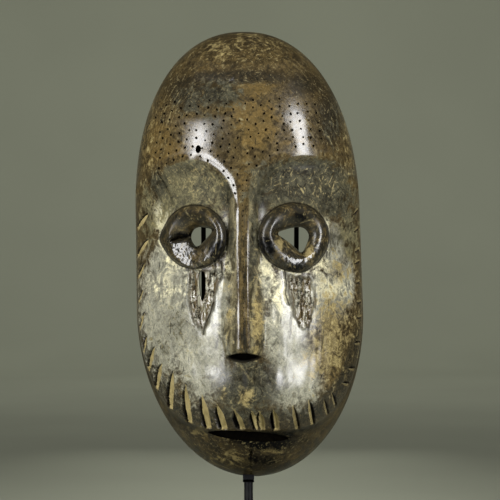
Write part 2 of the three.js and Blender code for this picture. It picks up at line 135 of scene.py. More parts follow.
# The eyes.
EYE_PROUD = 8
HOLE_EDGE_FALL = 1.4
CORNER_SPREAD = 16
LID = {"across": -38, "height": 161, "rise": 0.16, "outer_end": -50, "slope": 0.27, "slope_length": 14}
LEFT_EYE = {
    "middle": (-35.3, 161.3), "outer": (21.0, 20.8), "crest_middle": (-36.0, 161.8), "crest": (15.7, 15.9),
    "corner": (183, 2.2), "slit": [(-38, 161), (-45, 160.4), (-50.6, 158.6)],
    "hole": [(-38, 161), (-36.4, 165.8), (-33, 167.9), (-28.5, 167.4), (-22.6, 166), (-27, 160.5),
             (-33.4, 154), (-36.4, 157)],
}
RIGHT_EYE = {
    "middle": (29.7, 161.3), "outer": (23.2, 22.2), "crest_middle": (31.4, 163.0), "crest": (17.0, 16.6),
    "corner": (283, 1.4), "slit": [],
    "hole": [(17.6, 163.8), (25.3, 166.5), (30.6, 167.7), (35, 167.8), (38, 166), (40, 162.5), (39, 158),
             (35.2, 149.8), (31, 154), (24, 159.5)],
}

# The mouth and the other openings.
MOUTH = {"left": (-26.8, 33), "right": (27.4, 29), "above": 3.4, "below": 3.7, "deep": 17, "rise": -1}
CRACK = [(-32.3, 139), (-28, 139), (-27.7, 127), (-28.7, 121), (-30.6, 118.5), (-32.3, 130)]
NAIL_HOLE = [(-34.7, 218.3), (-33.5, 221.2), (-30.7, 220.3), (-31.1, 216), (-33.7, 215.4)]
NAIL_DEPTH = 7

# Two patches below the eyes where the wood has rotted away.
ROT_DEPTH = 1.7
LEFT_ROT = [(-39, 139.5), (-39.5, 118), (-37, 108.5), (-29.5, 99.5), (-24, 110.5), (-21.5, 122), (-16, 139)]
RIGHT_ROT = [(24.6, 137.5), (26, 124), (29, 112.5), (32, 104), (36.6, 98.5), (40.5, 106), (44, 119),
             (41, 134)]

# The knife cuts: directions in degrees, lengths as shares of the way out, and how far round they slant.
DEEP_CUTS = [(161, 0.11, 8.5), (175, 0.108, 8.5), (188.5, 0.065, 6), (201.5, 0.05, 4), (211.3, 0.065, 4.5),
             (220.3, 0.055, 3.5), (225.8, 0.1, 3.4), (232.2, 0.1, 3.2), (237.6, 0.13, 5),
             (244.2, 0.11, 5.6), (251.2, 0.105, 4.7), (257.3, 0.085, 3.6), (263.6, 0.072, 2.7),
             (269.5, 0.075, 1.6), (272.3, 0.075, 0.4), (277.2, 0.085, 0), (284.6, 0.1, -0.4),
             (290.6, 0.1, -1.4), (295.5, 0.07, -1), (299, 0.065, -1)]
SMALL_CUTS = [304, 309, 317.5, 327, 333, 342, 352, 358, 368.7, 377.6]
SMALL_CUT = (0.05, 1.5)
CUT_FADE = 1.8

# The kinds of cut and the direction up to which each is found. A groove on one side takes a share of the
# width of a cut and is painted near black as shade, and the rest is bare wood.
CUT_KINDS = [
    {"up_to": 222, "width": 4.8, "deep": 2, "side": 1, "groove_share": 0.18, "bare": 1},
    {"up_to": 262, "width": 6.4, "deep": 3.6, "side": 1, "groove_share": 0.2, "bare": 1},
    {"up_to": 280, "width": 6.4, "deep": 3.6, "side": 1, "groove_share": 0.42, "bare": 0.9},
    {"up_to": 293, "width": 4.2, "deep": 2.6, "side": -1, "groove_share": 0.45, "bare": 0.65},
    {"up_to": 382, "width": 3.4, "deep": 1.5, "side": -1, "groove_share": 0.45, "bare": 0.4},
]

# Small damage, as (across, height, half width, half height, depth).
NICKS = [(-11.5, 263.7, 1.3, 2.2, 1.2), (-23.8, 182.3, 0.7, 0.7, 1.0), (-23.2, 179.2, 0.7, 0.7, 1.0),
         (1.7, 18.9, 1.1, 2.4, 3.0), (-62.0, 173.5, 1.0, 0.6, 0.8), (21.5, 183.5, 0.6, 0.6, 0.6)]

# Cracks, as lines with a width and a depth.
CRACK_LINES = [
    {"line": [(1.4, 25.5), (1.9, 21), (1.5, 15), (1.8, 8), (1.4, 3)], "width": 0.5, "deep": 0.5},
    {"line": [(-23, 118), (-24.5, 112), (-28.3, 104), (-29, 98)], "width": 0.9, "deep": 1.0},
    {"line": [(-17.8, 145.5), (-17.2, 140), (-16.8, 136.5)], "width": 0.8, "deep": 0.9},
    {"line": [(-22.2, 146), (-21.6, 141), (-21.9, 136)], "width": 0.8, "deep": 0.9},
    {"line": [(23.6, 139), (24.6, 131), (24.0, 124), (26.4, 117)], "width": 0.9, "deep": 1.1},
    {"line": [(-60, 204), (-55, 196), (-51, 188), (-49.5, 183)], "width": 0.5, "deep": 0.2},
    {"line": [(-2, 74), (-2.2, 68), (-1.6, 63)], "width": 0.6, "deep": 0.3},
]

REACH_STEPS = 1440
OUTLINE_POINTS = 500


def smoothstep(value, low, high):
    turn = np.clip((value - low) / (high - low), 0, 1)
    return turn * turn * (3 - 2 * turn)


def lerp(first, second, share):
    return first + (second - first) * share


def half_width(height):
    """Half the width of the outline at a height."""
    rise = np.clip((height - SIDES_END) / (MASK_HEIGHT - SIDES_END), 0, 1)
    fall = np.clip((SIDES_START - height) / SIDES_START, 0, 1)
    along = np.clip((height - SIDES_START) / (SIDES_END - SIDES_START), 0, 1)
    crown = TEMPLE_HALF_WIDTH * (1 - rise ** CROWN_ROUNDNESS) ** (1 / CROWN_ROUNDNESS)
    chin = CHEEK_HALF_WIDTH * np.sqrt(1 - fall ** 2)
    sides = lerp(CHEEK_HALF_WIDTH, TEMPLE_HALF_WIDTH, along)
    return np.where(height > SIDES_END, crown, np.where(height < SIDES_START, chin, sides))


def middle_line(height):
    return (MIDDLE_HEIGHT - height) * LEAN


def measure_reach():
    """How far the outline is from the middle of the face, in every direction."""
    angles = np.linspace(-math.pi, math.pi, REACH_STEPS + 1)
    near = np.zeros(len(angles))
    far = np.full(len(angles), float(MASK_HEIGHT))
    for _ in range(24):
        length = (near + far) / 2
        height = MIDDLE_HEIGHT + length * np.sin(angles)
        inside = (height > 0) & (height < MASK_HEIGHT) & (abs(length * np.cos(angles)) < half_width(height))
        near = np.where(inside, length, near)
        far = np.where(inside, far, length)
    return angles, near


REACH_ANGLES, REACHES = measure_reach()


def reach(angle):
    wrapped = (angle + math.pi) % (2 * math.pi) - math.pi
    return np.interp(wrapped, REACH_ANGLES, REACHES)


def rim_width(angle):
    return RIM_WIDTH + (CHIN_SHELF - RIM_WIDTH) * np.maximum(0, -np.sin(angle)) ** 6


def no_inset(angle):
    return 0 * angle


def roll_up(flat, inset=no_inset):
    """Direction, share of the way out, across and height of points on the shell that is rolled out flat."""
    angle = np.arctan2(flat[:, 1], flat[:, 0])
    limit = reach(angle) - inset(angle)
    share = np.sin(np.minimum(np.hypot(flat[:, 0], flat[:, 1]) / limit, math.pi / 2))
    length = share * limit
    height = MIDDLE_HEIGHT + length * np.sin(angle)
    across = length * np.cos(angle) + middle_line(height)
    return angle, share, across, height


def roll_out(places, inset=no_inset):
    """The other way round: places across and up become points of the shell that is rolled out flat."""
    places = np.asarray(places, float)
    x = places[:, 0] - middle_line(places[:, 1])
    z = places[:, 1] - MIDDLE_HEIGHT
    angle = np.arctan2(z, x)
    limit = reach(angle) - inset(angle)
    length = np.arcsin(np.minimum(1, np.hypot(x, z) / limit)) * limit
    return np.column_stack([length * np.cos(angle), length * np.sin(angle)])


def place_at(angle, share):
    length = share * reach(angle)
    height = MIDDLE_HEIGHT + length * np.sin(angle)
    return np.column_stack([length * np.cos(angle) + middle_line(height), height])


def chinward(angle, spread):
    """How close a direction is to the chin, from 0 to 1."""
    from_chin = (np.degrees(angle) + 90 + 180) % 360 - 180
    return np.exp(-(from_chin / spread) ** 2)


def edge_share(angle):
    """What share of the way to the outline the edge of the face is."""
    return lerp(EDGE_AT_SIDES, EDGE_AT_CHIN, chinward(angle, EDGE_SPREAD))


def edge_run(angle):
    return np.minimum(0.035, 0.4 * (1 - edge_share(angle)))


def edge_lift(angle, share):
    edge = edge_share(angle)
    low = smoothstep(-np.sin(angle), 0.1, 0.6)
    swell = smoothstep(share, edge - 0.3, edge)
    lift = lerp(EDGE_LIFT_AT_SIDES, EDGE_LIFT_AT_CHIN, chinward(angle, 2 * EDGE_SPREAD))
    return lift * low * swell * (1 - smoothstep(share, edge, edge + edge_run(angle)))


def shell_depth(angle, share):
    """The shell is a dome, fuller above and below, where the face hardly falls back towards its edge."""
    upright = np.sin(angle)
    power = 2 + np.where(upright > 0, UPPER_FULLNESS, LOWER_FULLNESS) * upright ** 2
    return SHELL_DEPTH * (1 - share ** power) ** (1 / power)


def mound(form, across, height):
    x = (across - form["across"]) / form["half_width"]
    z = (height - form["height"]) / form["half_height"]
    return form["proud"] * np.exp(-x * x - z * z)


def forehead_depth(across, height, angle, share):
    return shell_depth(angle, share) + mound(TEMPLE, across, height) * (1 - share ** 4)


def face_depth(across, height, angle, share):
    socket = SOCKET_DEPTH * smoothstep(height, SOCKET_FOOT, SOCKET_TOP)
    forms = (mound(MUZZLE, across, height) + mound(NOSE_SWELL, across, height) - socket) * (1 - share ** 8)
    return shell_depth(angle, share) + forms + edge_lift(angle, share)


def lattice_noise(x, z, seed):
    """Smooth noise from -1 to 1 with a grain of about one unit."""
    table = np.random.default_rng(seed).uniform(-1, 1, (256, 256))
    column = np.floor(x).astype(int)
    row = np.floor(z).astype(int)
    right = x - column
    up = z - row
    right = right * right * (3 - 2 * right)
    up = up * up * (3 - 2 * up)

    def corner(dx, dz):
        return table[(column + dx) & 255, (row + dz) & 255]

    low = lerp(corner(0, 0), corner(1, 0), right)
    high = lerp(corner(0, 1), corner(1, 1), right)
    return lerp(low, high, up)


def layered_noise(x, z, seed, layers=3):
    total = 0
    for layer in range(layers):
        total = total + lattice_noise(x * 2 ** layer, z * 2 ** layer, seed + layer) / 2 ** layer
    return total / 1.6


def smooth_line(points, steps):
    """A smooth line through the points, with steps + 1 places on it."""
    points = np.asarray(points, float)
    last = len(points) - 1
    along = np.linspace(0, last, steps + 1)
    start = np.minimum(np.floor(along).astype(int), last - 1)
    turn = (along - start)[:, None]
    before = points[np.where(start == 0, 0, start - 1)]
    first = points[start]
    second = points[start + 1]
    after = points[np.minimum(start + 2, last)]
    leave = (second - before) / 2
    arrive = (after - first) / 2
    cubic = (2 * first - 2 * second + leave + arrive) * turn ** 3
    square = (-3 * first + 3 * second - 2 * leave - arrive) * turn ** 2
    return cubic + square + leave * turn + first


def spaced(line, gap, closed=False):
    """Evenly spaced places along a line, about a gap apart."""
    line = np.asarray(line, float)
    if closed:
        line = np.vstack([line, line[:1]])
    lengths = np.concatenate([[0], np.cumsum(np.hypot(*np.diff(line, axis=0).T))])
    count = max(2, int(round(lengths[-1] / gap)))
    at = np.linspace(0, lengths[-1], count + 1)
    if closed:
        at = at[:-1]
    return np.column_stack([np.interp(at, lengths, line[:, 0]), np.interp(at, lengths, line[:, 1])])


def softened(outline, rounds=2):
    """A closed outline with its corners cut."""
    outline = np.asarray(outline, float)
    for _ in range(rounds):
        following = np.roll(outline, -1, axis=0)
        pairs = np.stack([lerp(outline, following, 0.25), lerp(outline, following, 0.75)], axis=1)
        outline = pairs.reshape(-1, 2)
    return outline


def distance_to(places, line, closed=False):
    """How far places are from a line."""
    line = np.asarray(line, float)
    if closed:
        line = np.vstack([line, line[:1]])
    nearest = np.full(len(places), np.inf)
    for start, end in zip(line[:-1], line[1:]):
        step = end - start
        share = np.clip(((places - start) @ step) / max(step @ step, 1e-9), 0, 1)
        gap = places - start - share[:, None] * step
        nearest = np.minimum(nearest, np.hypot(gap[:, 0], gap[:, 1]))
    return nearest


def is_inside(places, outline):
    outline = np.asarray(outline, float)
    inside = np.zeros(len(places), bool)
    for start, end in zip(outline, np.roll(outline, -1, axis=0)):
        spans = (start[1] > places[:, 1]) != (end[1] > places[:, 1])
        rise = end[1] - start[1] if end[1] != start[1] else 1e-9
        crossing = start[0] + (places[:, 1] - start[1]) * (end[0] - start[0]) / rise
        inside ^= spans & (places[:, 0] < crossing)
    return inside


def depth_inside(places, outline):
    """How far places are inside an outline, negative outside it."""
    gap = distance_to(places, outline, closed=True)
    return np.where(is_inside(places, outline), gap, -gap)


def mouth_outline(gap):
    """The outline of the mouth, a long slit with blunt ends."""
    turn = np.linspace(0, 2 * math.pi, 120, endpoint=False)
    along = -np.cos(turn)
    swell = (1 - np.abs(along) ** 2.4) ** 0.7
    offset = np.where(np.sin(turn) > 0, MOUTH["above"], -MOUTH["below"]) * swell
    share = (along[:, None] + 1) / 2
    places = lerp(np.array(MOUTH["left"], float), np.array(MOUTH["right"], float), share)
    return spaced(places + np.column_stack([np.zeros(len(turn)), offset]), gap, closed=True)


# The whole line of the brow runs past both sides of the mask, and closes round the forehead above it.
SIDE = CHEEK_HALF_WIDTH + 20
BROW_LINE = np.vstack([[(-SIDE, BROW_ENDS[0])], smooth_line(LEFT_BROW, 26), BROW_ROOT,
                       smooth_line(RIGHT_BROW, 26), [(SIDE, BROW_ENDS[1])]])
FOREHEAD_OUTLINE = np.vstack([BROW_LINE, [(SIDE, MASK_HEIGHT + 20), (-SIDE, MASK_HEIGHT + 20)]])


def brow_distance(places):
    """How far places are above the brow, negative below it."""
    gap = distance_to(places, BROW_LINE)
    return np.where(is_inside(places, FOREHEAD_OUTLINE), gap, -gap)


def nose_shape(across, height):
    """What share of its height the nose has at a place, the depth of its top, and how each part shows."""
    down = np.clip((NOSE_TOP - height) / (NOSE_TOP - NOSE_TIP), 0, 1)
    middle = NOSE_MIDDLE + NOSE_DRIFT * down
    left = np.interp(height, NOSE_HEIGHTS, NOSE_LEFT)
    right = np.interp(height, NOSE_HEIGHTS, NOSE_RIGHT)
    inner = NOSE_BAND / 2
    outer = inner + NOSE_BEVEL
    on_left = (middle - outer - across) / (middle - outer - left)
    on_right = (across - middle - outer) / (right - middle - outer)
    over = np.maximum(on_left, on_right)
    flank = np.clip(over, 0, 1)
    share = 1 - flank ** NOSE_FALL
    end = nose_end(across)
    lower_end = smoothstep(height, end - 0.5, end + 0.7)
    ends = lower_end * (1 - smoothstep(height, 188, 206))
    rounding = NOSE_TIP_ROUNDING * (1 - smoothstep(height, end, end + 5)) ** 2
    off = np.abs(across - middle)
    groove = NOSE_GROOVE * (1 - np.clip(off / inner, 0, 1) ** 2) * (1 - smoothstep(height, 180, 198))
    bevel = BEVEL_SLOPE * np.clip(off - inner, 0, NOSE_BEVEL)
    depth = lerp(SHELL_DEPTH * NOSE_ROOT_SHARE, NOSE_TIP_DEPTH, down) - rounding - groove - bevel
    upper_end = 1 - smoothstep(height, 184, 196)
    ridge_end = np.where(across > middle, 1 - smoothstep(height, 154, 170), 1)
    on_ridge = smoothstep(off, inner - 0.4, inner + 0.1) * (1 - smoothstep(off, outer, outer + 0.7))
    on_flank = smoothstep(off, outer, outer + 0.8) * (1 - smoothstep(over, 0.96, 1.14))
    parts = {
        "ridge": on_ridge * ends * ridge_end,
        "band": (1 - smoothstep(off, inner - 0.2, inner + 0.4)) * lower_end * upper_end,
        "nose": on_flank * lower_end * upper_end,
    }
    return share * ends, depth, parts


def nose_end(across):
    """The height at which the nose ends, an arch over the nostrils."""
    middle = (NOSTRIL_PIT["left"] + NOSTRIL_PIT["right"]) / 2
    half = (NOSTRIL_PIT["right"] - NOSTRIL_PIT["left"]) / 2
    return NOSE_END - NOSE_ARCH * np.clip(np.abs(across - middle) / half, 0, 1.2) ** 2


def eye_measures(eye, across, height):
    """Shares of an eye's outer foot and crest that places are at, from its middle outwards."""
    x = (across - eye["middle"][0]) / eye["outer"][0]
    z = (height - eye["middle"][1]) / eye["outer"][1]
    angle, bulge = eye["corner"]
    away = np.abs((np.degrees(np.arctan2(z, x)) - angle + 540) % 360 - 180) / CORNER_SPREAD
    corner = bulge * np.exp(-away ** 2)
    outer = np.hypot(
        (across - eye["middle"][0]) / (eye["outer"][0] + corner),
        (height - eye["middle"][1]) / (eye["outer"][1] + corner),
    )
    crest = np.hypot(
        (across - eye["crest_middle"][0]) / eye["crest"][0],
        (height - eye["crest_middle"][1]) / eye["crest"][1],
    )
    return outer, crest


def below_lid(across, height):
    """How far places are below the edge of the left eye's upper lid."""
    return LID["height"] + LID["rise"] * (across - LID["across"]) - height


def eye_lift(eye, places):
    """How far an eye's ring stands off the face, and how much a place belongs to the ring."""
    across, height = places.T
    outer, crest = eye_measures(eye, across, height)
    lift = np.zeros(len(places))
    ring = outer < 1
    flank = ring & (crest >= 1)
    foot_gap = (1 - outer[flank]) * eye["outer"][0]
    crest_gap = (crest[flank] - 1) * eye["crest"][0]
    climb = foot_gap / np.maximum(foot_gap + crest_gap, 1e-6)
    lift[flank] = EYE_PROUD * np.sqrt(np.maximum(0, 1 - (1 - climb) ** 2))
    funnel = ring & (crest < 1)
    there = places[funnel]
    hole_gap = distance_to(there, eye["hole"], closed=True)
    if eye["slit"]:
        hole_gap = np.minimum(hole_gap, distance_to(there, eye["slit"]))
    crest_gap = (1 - crest[funnel]) * eye["crest"][0]
    fall = crest_gap / np.maximum(crest_gap + hole_gap, 1e-6)
    plain = 1 - fall ** 1.9
    if eye["slit"]:
        low = smoothstep(below_lid(*there.T), -0.5, 0.9)
        left = 1 - smoothstep(there[:, 0], -31, -22)
        lid = 1 - fall ** 4
        slope = 1 - fall ** 1.35 - 0.2 * smoothstep(fall, 0.55, 0.95)
        shaped = lerp(slope, lid, low)
        plain = lerp(plain, shaped, left)
    lift[funnel] = EYE_PROUD * plain - HOLE_EDGE_FALL * smoothstep(fall, 0.85, 1)
    if eye["slit"]:
        slope = EYE_PROUD - LID["slope"] * np.clip(across - LID["outer_end"], 0, LID["slope_length"])
        below = smoothstep(below_lid(across, height), 0, 2) * (1 - smoothstep(across, -43, -24))
        lift = lerp(lift, np.minimum(lift, slope), below * ring)
    return lift, smoothstep(1.03 - outer, 0, 0.04)


def shell_point(angle, share):
    """A point of the face as across, depth and height."""
    place = place_at(angle, share)
    depth = face_depth(place[:, 0], place[:, 1], angle, share)
    return np.array([place[0, 0], depth[0], place[0, 1]])


def cut_list():
    """Every knife cut with its kind, where it starts and ends, and its directions along, across and out."""
    cuts = []
    for degrees, run, slant in DEEP_CUTS + [(degrees, *SMALL_CUT) for degrees in SMALL_CUTS]:
        kind = next(kind for kind in CUT_KINDS if degrees < kind["up_to"])
        end_angle = np.radians(np.array([degrees + slant]))
        end_share = edge_share(end_angle)
        start = shell_point(np.radians(np.array([float(degrees)])), end_share - run)
        end = shell_point(end_angle, end_share)
        beside = shell_point(np.radians(np.array([degrees - 5.0])), end_share - run / 2)
        length = np.linalg.norm(end - start)
        along = (end - start) / length
        outward = np.cross(beside - start, along)
        outward /= np.linalg.norm(outward)
        if outward[1] < 0:
            outward = -outward
        across = np.cross(along, outward)
        if across[0] < 0:
            across = -across
        cuts.append({**kind, "start": start, "length": length, "along": along, "across": across,
                     "outward": outward, "groove": 2 * kind["groove_share"] - 1})
    return cuts


def cut_widening(travel):
    """A knife cut widens quickly from its point and closes again towards its end."""
    opening = np.clip(1.9 * np.clip(travel, 0, 1) ** 0.7, 0, 1)
    return np.clip(opening * (1 - 0.15 * smoothstep(travel, 0.8, 1.1)), 0.14, 1)


def cut_knots(cut):
    """Where the section of a cut has its corners, from -1 at one edge to 1 at the other."""
    groove = cut["groove"]
    return [-1, lerp(-1, groove, 0.5), groove, lerp(groove, 1, 0.7), 1]


def cut_profile(cut, points):
    """How deep one knife cut is at points, and where they are across it."""
    gap = points - cut["start"]
    travel = gap @ cut["along"] / cut["length"]
    half = cut["width"] / 2 * cut_widening(travel)
    deep = lerp(0.3, cut["deep"], cut_widening(travel))
    fade = 1 - smoothstep((travel - 1) * cut["length"], 0.0, CUT_FADE)
    side = gap @ cut["across"] * cut["side"] / half
    section = np.interp(side, cut_knots(cut), [0, 1, 0.45, 0.7, 0])
    near = (travel > -0.01) & (np.abs(side) < 1) & (np.abs(gap @ cut["outward"]) < 12)
    return np.where(near, deep * fade * section, 0), side


def cut_relief(points):
    """How far the knife cuts move points, how bare each point is, and where their grooves are painted as
    shade.
    """
    bare, gouged, deepest = np.zeros((3, len(points)))
    shift = np.zeros(points.shape)
    clear = smoothstep(distance_to(points[:, [0, 2]], mouth_outline(1.5), closed=True), 0.3, 2.0)
    for cut in cut_list():
        deep, side = cut_profile(cut, points)
        deep = deep * clear
        more = deep > deepest
        shift[more] = -cut["outward"] * deep[more][:, None]
        deepest = np.maximum(deepest, deep)
        cleared = smoothstep(deep, 0.15, 0.5)
        # The groove on one side of each cut is painted near black as shade, and the rest of the cut is bare
        # wood.
        bare = np.where(more & (side > cut["groove"]), cleared * cut["bare"], bare)
        gouged = np.where(more & (side <= cut["groove"]), cleared, gouged)
    return shift, bare, gouged


def brow_surface(places, angle, share, brow):
    """The forehead above the face: the depth, the brow's step, and where its edge is worn and dull."""
    across, height = places.T
    face = face_depth(across, height, angle, share)
    forehead = forehead_depth(across, height, angle, share)
    on_nose = (across > -9) & (across < 3)
    root = np.where(on_nose, smoothstep(height, 160, 188), 1)
    ridge = smoothstep(across, -40, -26) * (1 - smoothstep(across, -6, -3))
    width = lerp(NOSE_BEVEL, BROW_BEVEL, smoothstep(height, 180, 205))
    bevel = BEVEL_SLOPE * width * (1 - np.clip(brow / width, 0, 1)) ** 1.4
    right_brow = smoothstep(across, 2, 14) * (1 - smoothstep(across, 50, 62))
    fall = lerp(BROW_FALL, BROW_RIDGE_FALL, ridge + 0.7 * right_brow)
    step = (1 + (np.maximum(0, -brow) / fall) ** 2) ** -1.3 * root
    depth = lerp(face, forehead - bevel * ridge, step)
    worn = smoothstep(brow, -1.2, 0.4) * (1 - smoothstep(brow, width, width * 1.5)) * ridge * root
    dull = np.exp(-(brow / 4) ** 2) * (1 - ridge) * root
    return depth, step, worn, dull


def nostril_recess(across, height):
    """How much a place belongs to the pit under the nose's end, which is sunk and painted as shade."""
    pit = NOSTRIL_PIT
    middle = (pit["left"] + pit["right"]) / 2
    half = (pit["right"] - pit["left"]) / 2
    turn = np.clip(np.abs(across - middle) / half, 0, 1)
    top = nose_end(across)
    bottom = lerp(pit["bottom"], pit["top"] - NOSE_ARCH, turn ** 2)
    above_bottom = smoothstep(height, bottom - 0.4, bottom + 1.2)
    below_top = 1 - smoothstep(height, top - 0.6, top + 0.5)
    return above_bottom * below_top * (turn < 1)


def rot_relief(places):
    """How deep the rotted wood lies, how rotted a place is, and the painted shade in its seams and rim."""
    across, height = places.T
    rot, rotted, rim = np.zeros((3, len(places)))
    ragged = layered_noise(across / 2.2, height / 5, 31)
    for outline in (LEFT_ROT, RIGHT_ROT):
        gap = depth_inside(places, outline)
        edge = (gap + 2.0 * ragged) * (gap > -4) - 9 * (gap <= -4)
        rot = np.maximum(rot, smoothstep(edge, -0.6, 1.2))
        rotted = np.maximum(rotted, smoothstep(edge, -0.6, 3.0))
        rim = np.maximum(rim, np.exp(-((edge - 0.3) / 0.9) ** 2))
    seam = 1 - smoothstep(np.abs(layered_noise(across / 1.8, height / 8, 47, 3)), 0.03, 0.16)
    flakes = smoothstep(layered_noise(across / 3.4, height / 10, 57, 2), -0.12, 0.12)
    crumbs = layered_noise(across / 0.9, height / 3, 52, 2)
    deep = rotted * (ROT_DEPTH * (0.45 + 0.5 * flakes + 0.55 * seam) - 0.4 * crumbs)
    return deep, rot, np.maximum(0.9 * rot * seam, 0.6 * rim)


def grain_relief(across, height, share, step, ring):
    """The uneven swell of the wood, its grain below the brow, and the lumps low on the eye rings."""
    swell = 0.32 * layered_noise(across / 11, height / 14, 3, 2) * (1 - share ** 6)
    grain = 0.16 * layered_noise(across / 1.9, height / 22, 11, 2) * (1 - step) * (1 - ring)
    lumps = 0.4 * layered_noise(across / 2.6, height / 2.6, 23, 2) + 0.22 * lattice_noise(across, height, 29)
    return swell + grain + lumps * ring * smoothstep(160 - height, 0, 6)


def damage_relief(places):
    """How deep the nicks and cracks are, and how much a place belongs to a crack."""
    deep, cracked = np.zeros((2, len(places)))
    for across, height, wide, tall, nick in NICKS:
        away = np.hypot((places[:, 0] - across) / wide, (places[:, 1] - height) / tall)
        deep = deep + nick * (1 - smoothstep(away, 0.55, 1.1))
    for crack in CRACK_LINES:
        away = distance_to(places, crack["line"]) / (crack["width"] / 2)
        open_here = 1 - smoothstep(away, 0.3, 1.5)
        deep = deep + crack["deep"] * open_here
        cracked = np.maximum(cracked, open_here)
    return deep, cracked


def front_surface(flat, sunk):
    """Points of the front in across, depth and height, and the finish of each, from its flat places."""
    angle, share, across, height = roll_up(flat)
    places = np.column_stack([across, height])
    brow = brow_distance(places)
    depth, step, worn, dull = brow_surface(places, angle, share, brow)
    nose, nose_depth, nose_parts = nose_shape(across, height)
    depth = np.where(nose_depth > depth, lerp(depth, nose_depth, nose), depth)
    recess = nostril_recess(across, height)
    depth = depth - NOSTRIL_PIT["deep"] * recess

    ring, foot = np.zeros((2, len(flat)))
    for eye in (LEFT_EYE, RIGHT_EYE):
        lift, belongs = eye_lift(eye, places)
        outer, _ = eye_measures(eye, across, height)
        # A thin line along the foot of each ring, where it meets the face, is painted dark as shade in the
        # crease.
        foot = np.maximum(foot, np.exp(-((outer - 1.0) / 0.022) ** 2))
        depth = depth + lift
        ring = np.maximum(ring, belongs)

    off_ring = 1 - ring
    rot_deep, rot, rot_dark = rot_relief(places)
    damage_deep, cracked = damage_relief(places)
    depth = depth - rot_deep * off_ring - damage_deep + grain_relief(across, height, share, step, ring)
    points = np.column_stack([across, depth - sunk, height])
    shift, bare, gouged = cut_relief(points)

    below_edge = smoothstep(share - edge_share(angle), -0.004, 0.02) * smoothstep(-np.sin(angle), 0.2, 0.7)
    # Painted shade: groove shade darkens the grooves of the knife cuts and the pit under the nose, crack
    # darkens the cracks, the seams and rim of the rotted wood and the crease at the foot of each eye ring,
    # and pit shade darkens the punched marks.
    finish = {
        "ring": ring, "rot": rot * off_ring, "bare": bare, "gouge": np.maximum(gouged, recess),
        "crack": np.maximum.reduce([cracked, rot_dark * off_ring, 0.75 * foot]), "under": below_edge,
        "worn": np.maximum(worn, nose_parts["ridge"]) * off_ring, "nose": nose_parts["nose"] * off_ring,
        "band": nose_parts["band"], "pit": np.clip(sunk, 0, 1), "inside": np.zeros(len(flat)),
    }
    finish.update(stains(places, angle, share, brow))
    finish["crest"] = finish["crest"] * ring
    finish["dull"] = np.maximum(finish["dull"], dull)
    return points + shift, finish
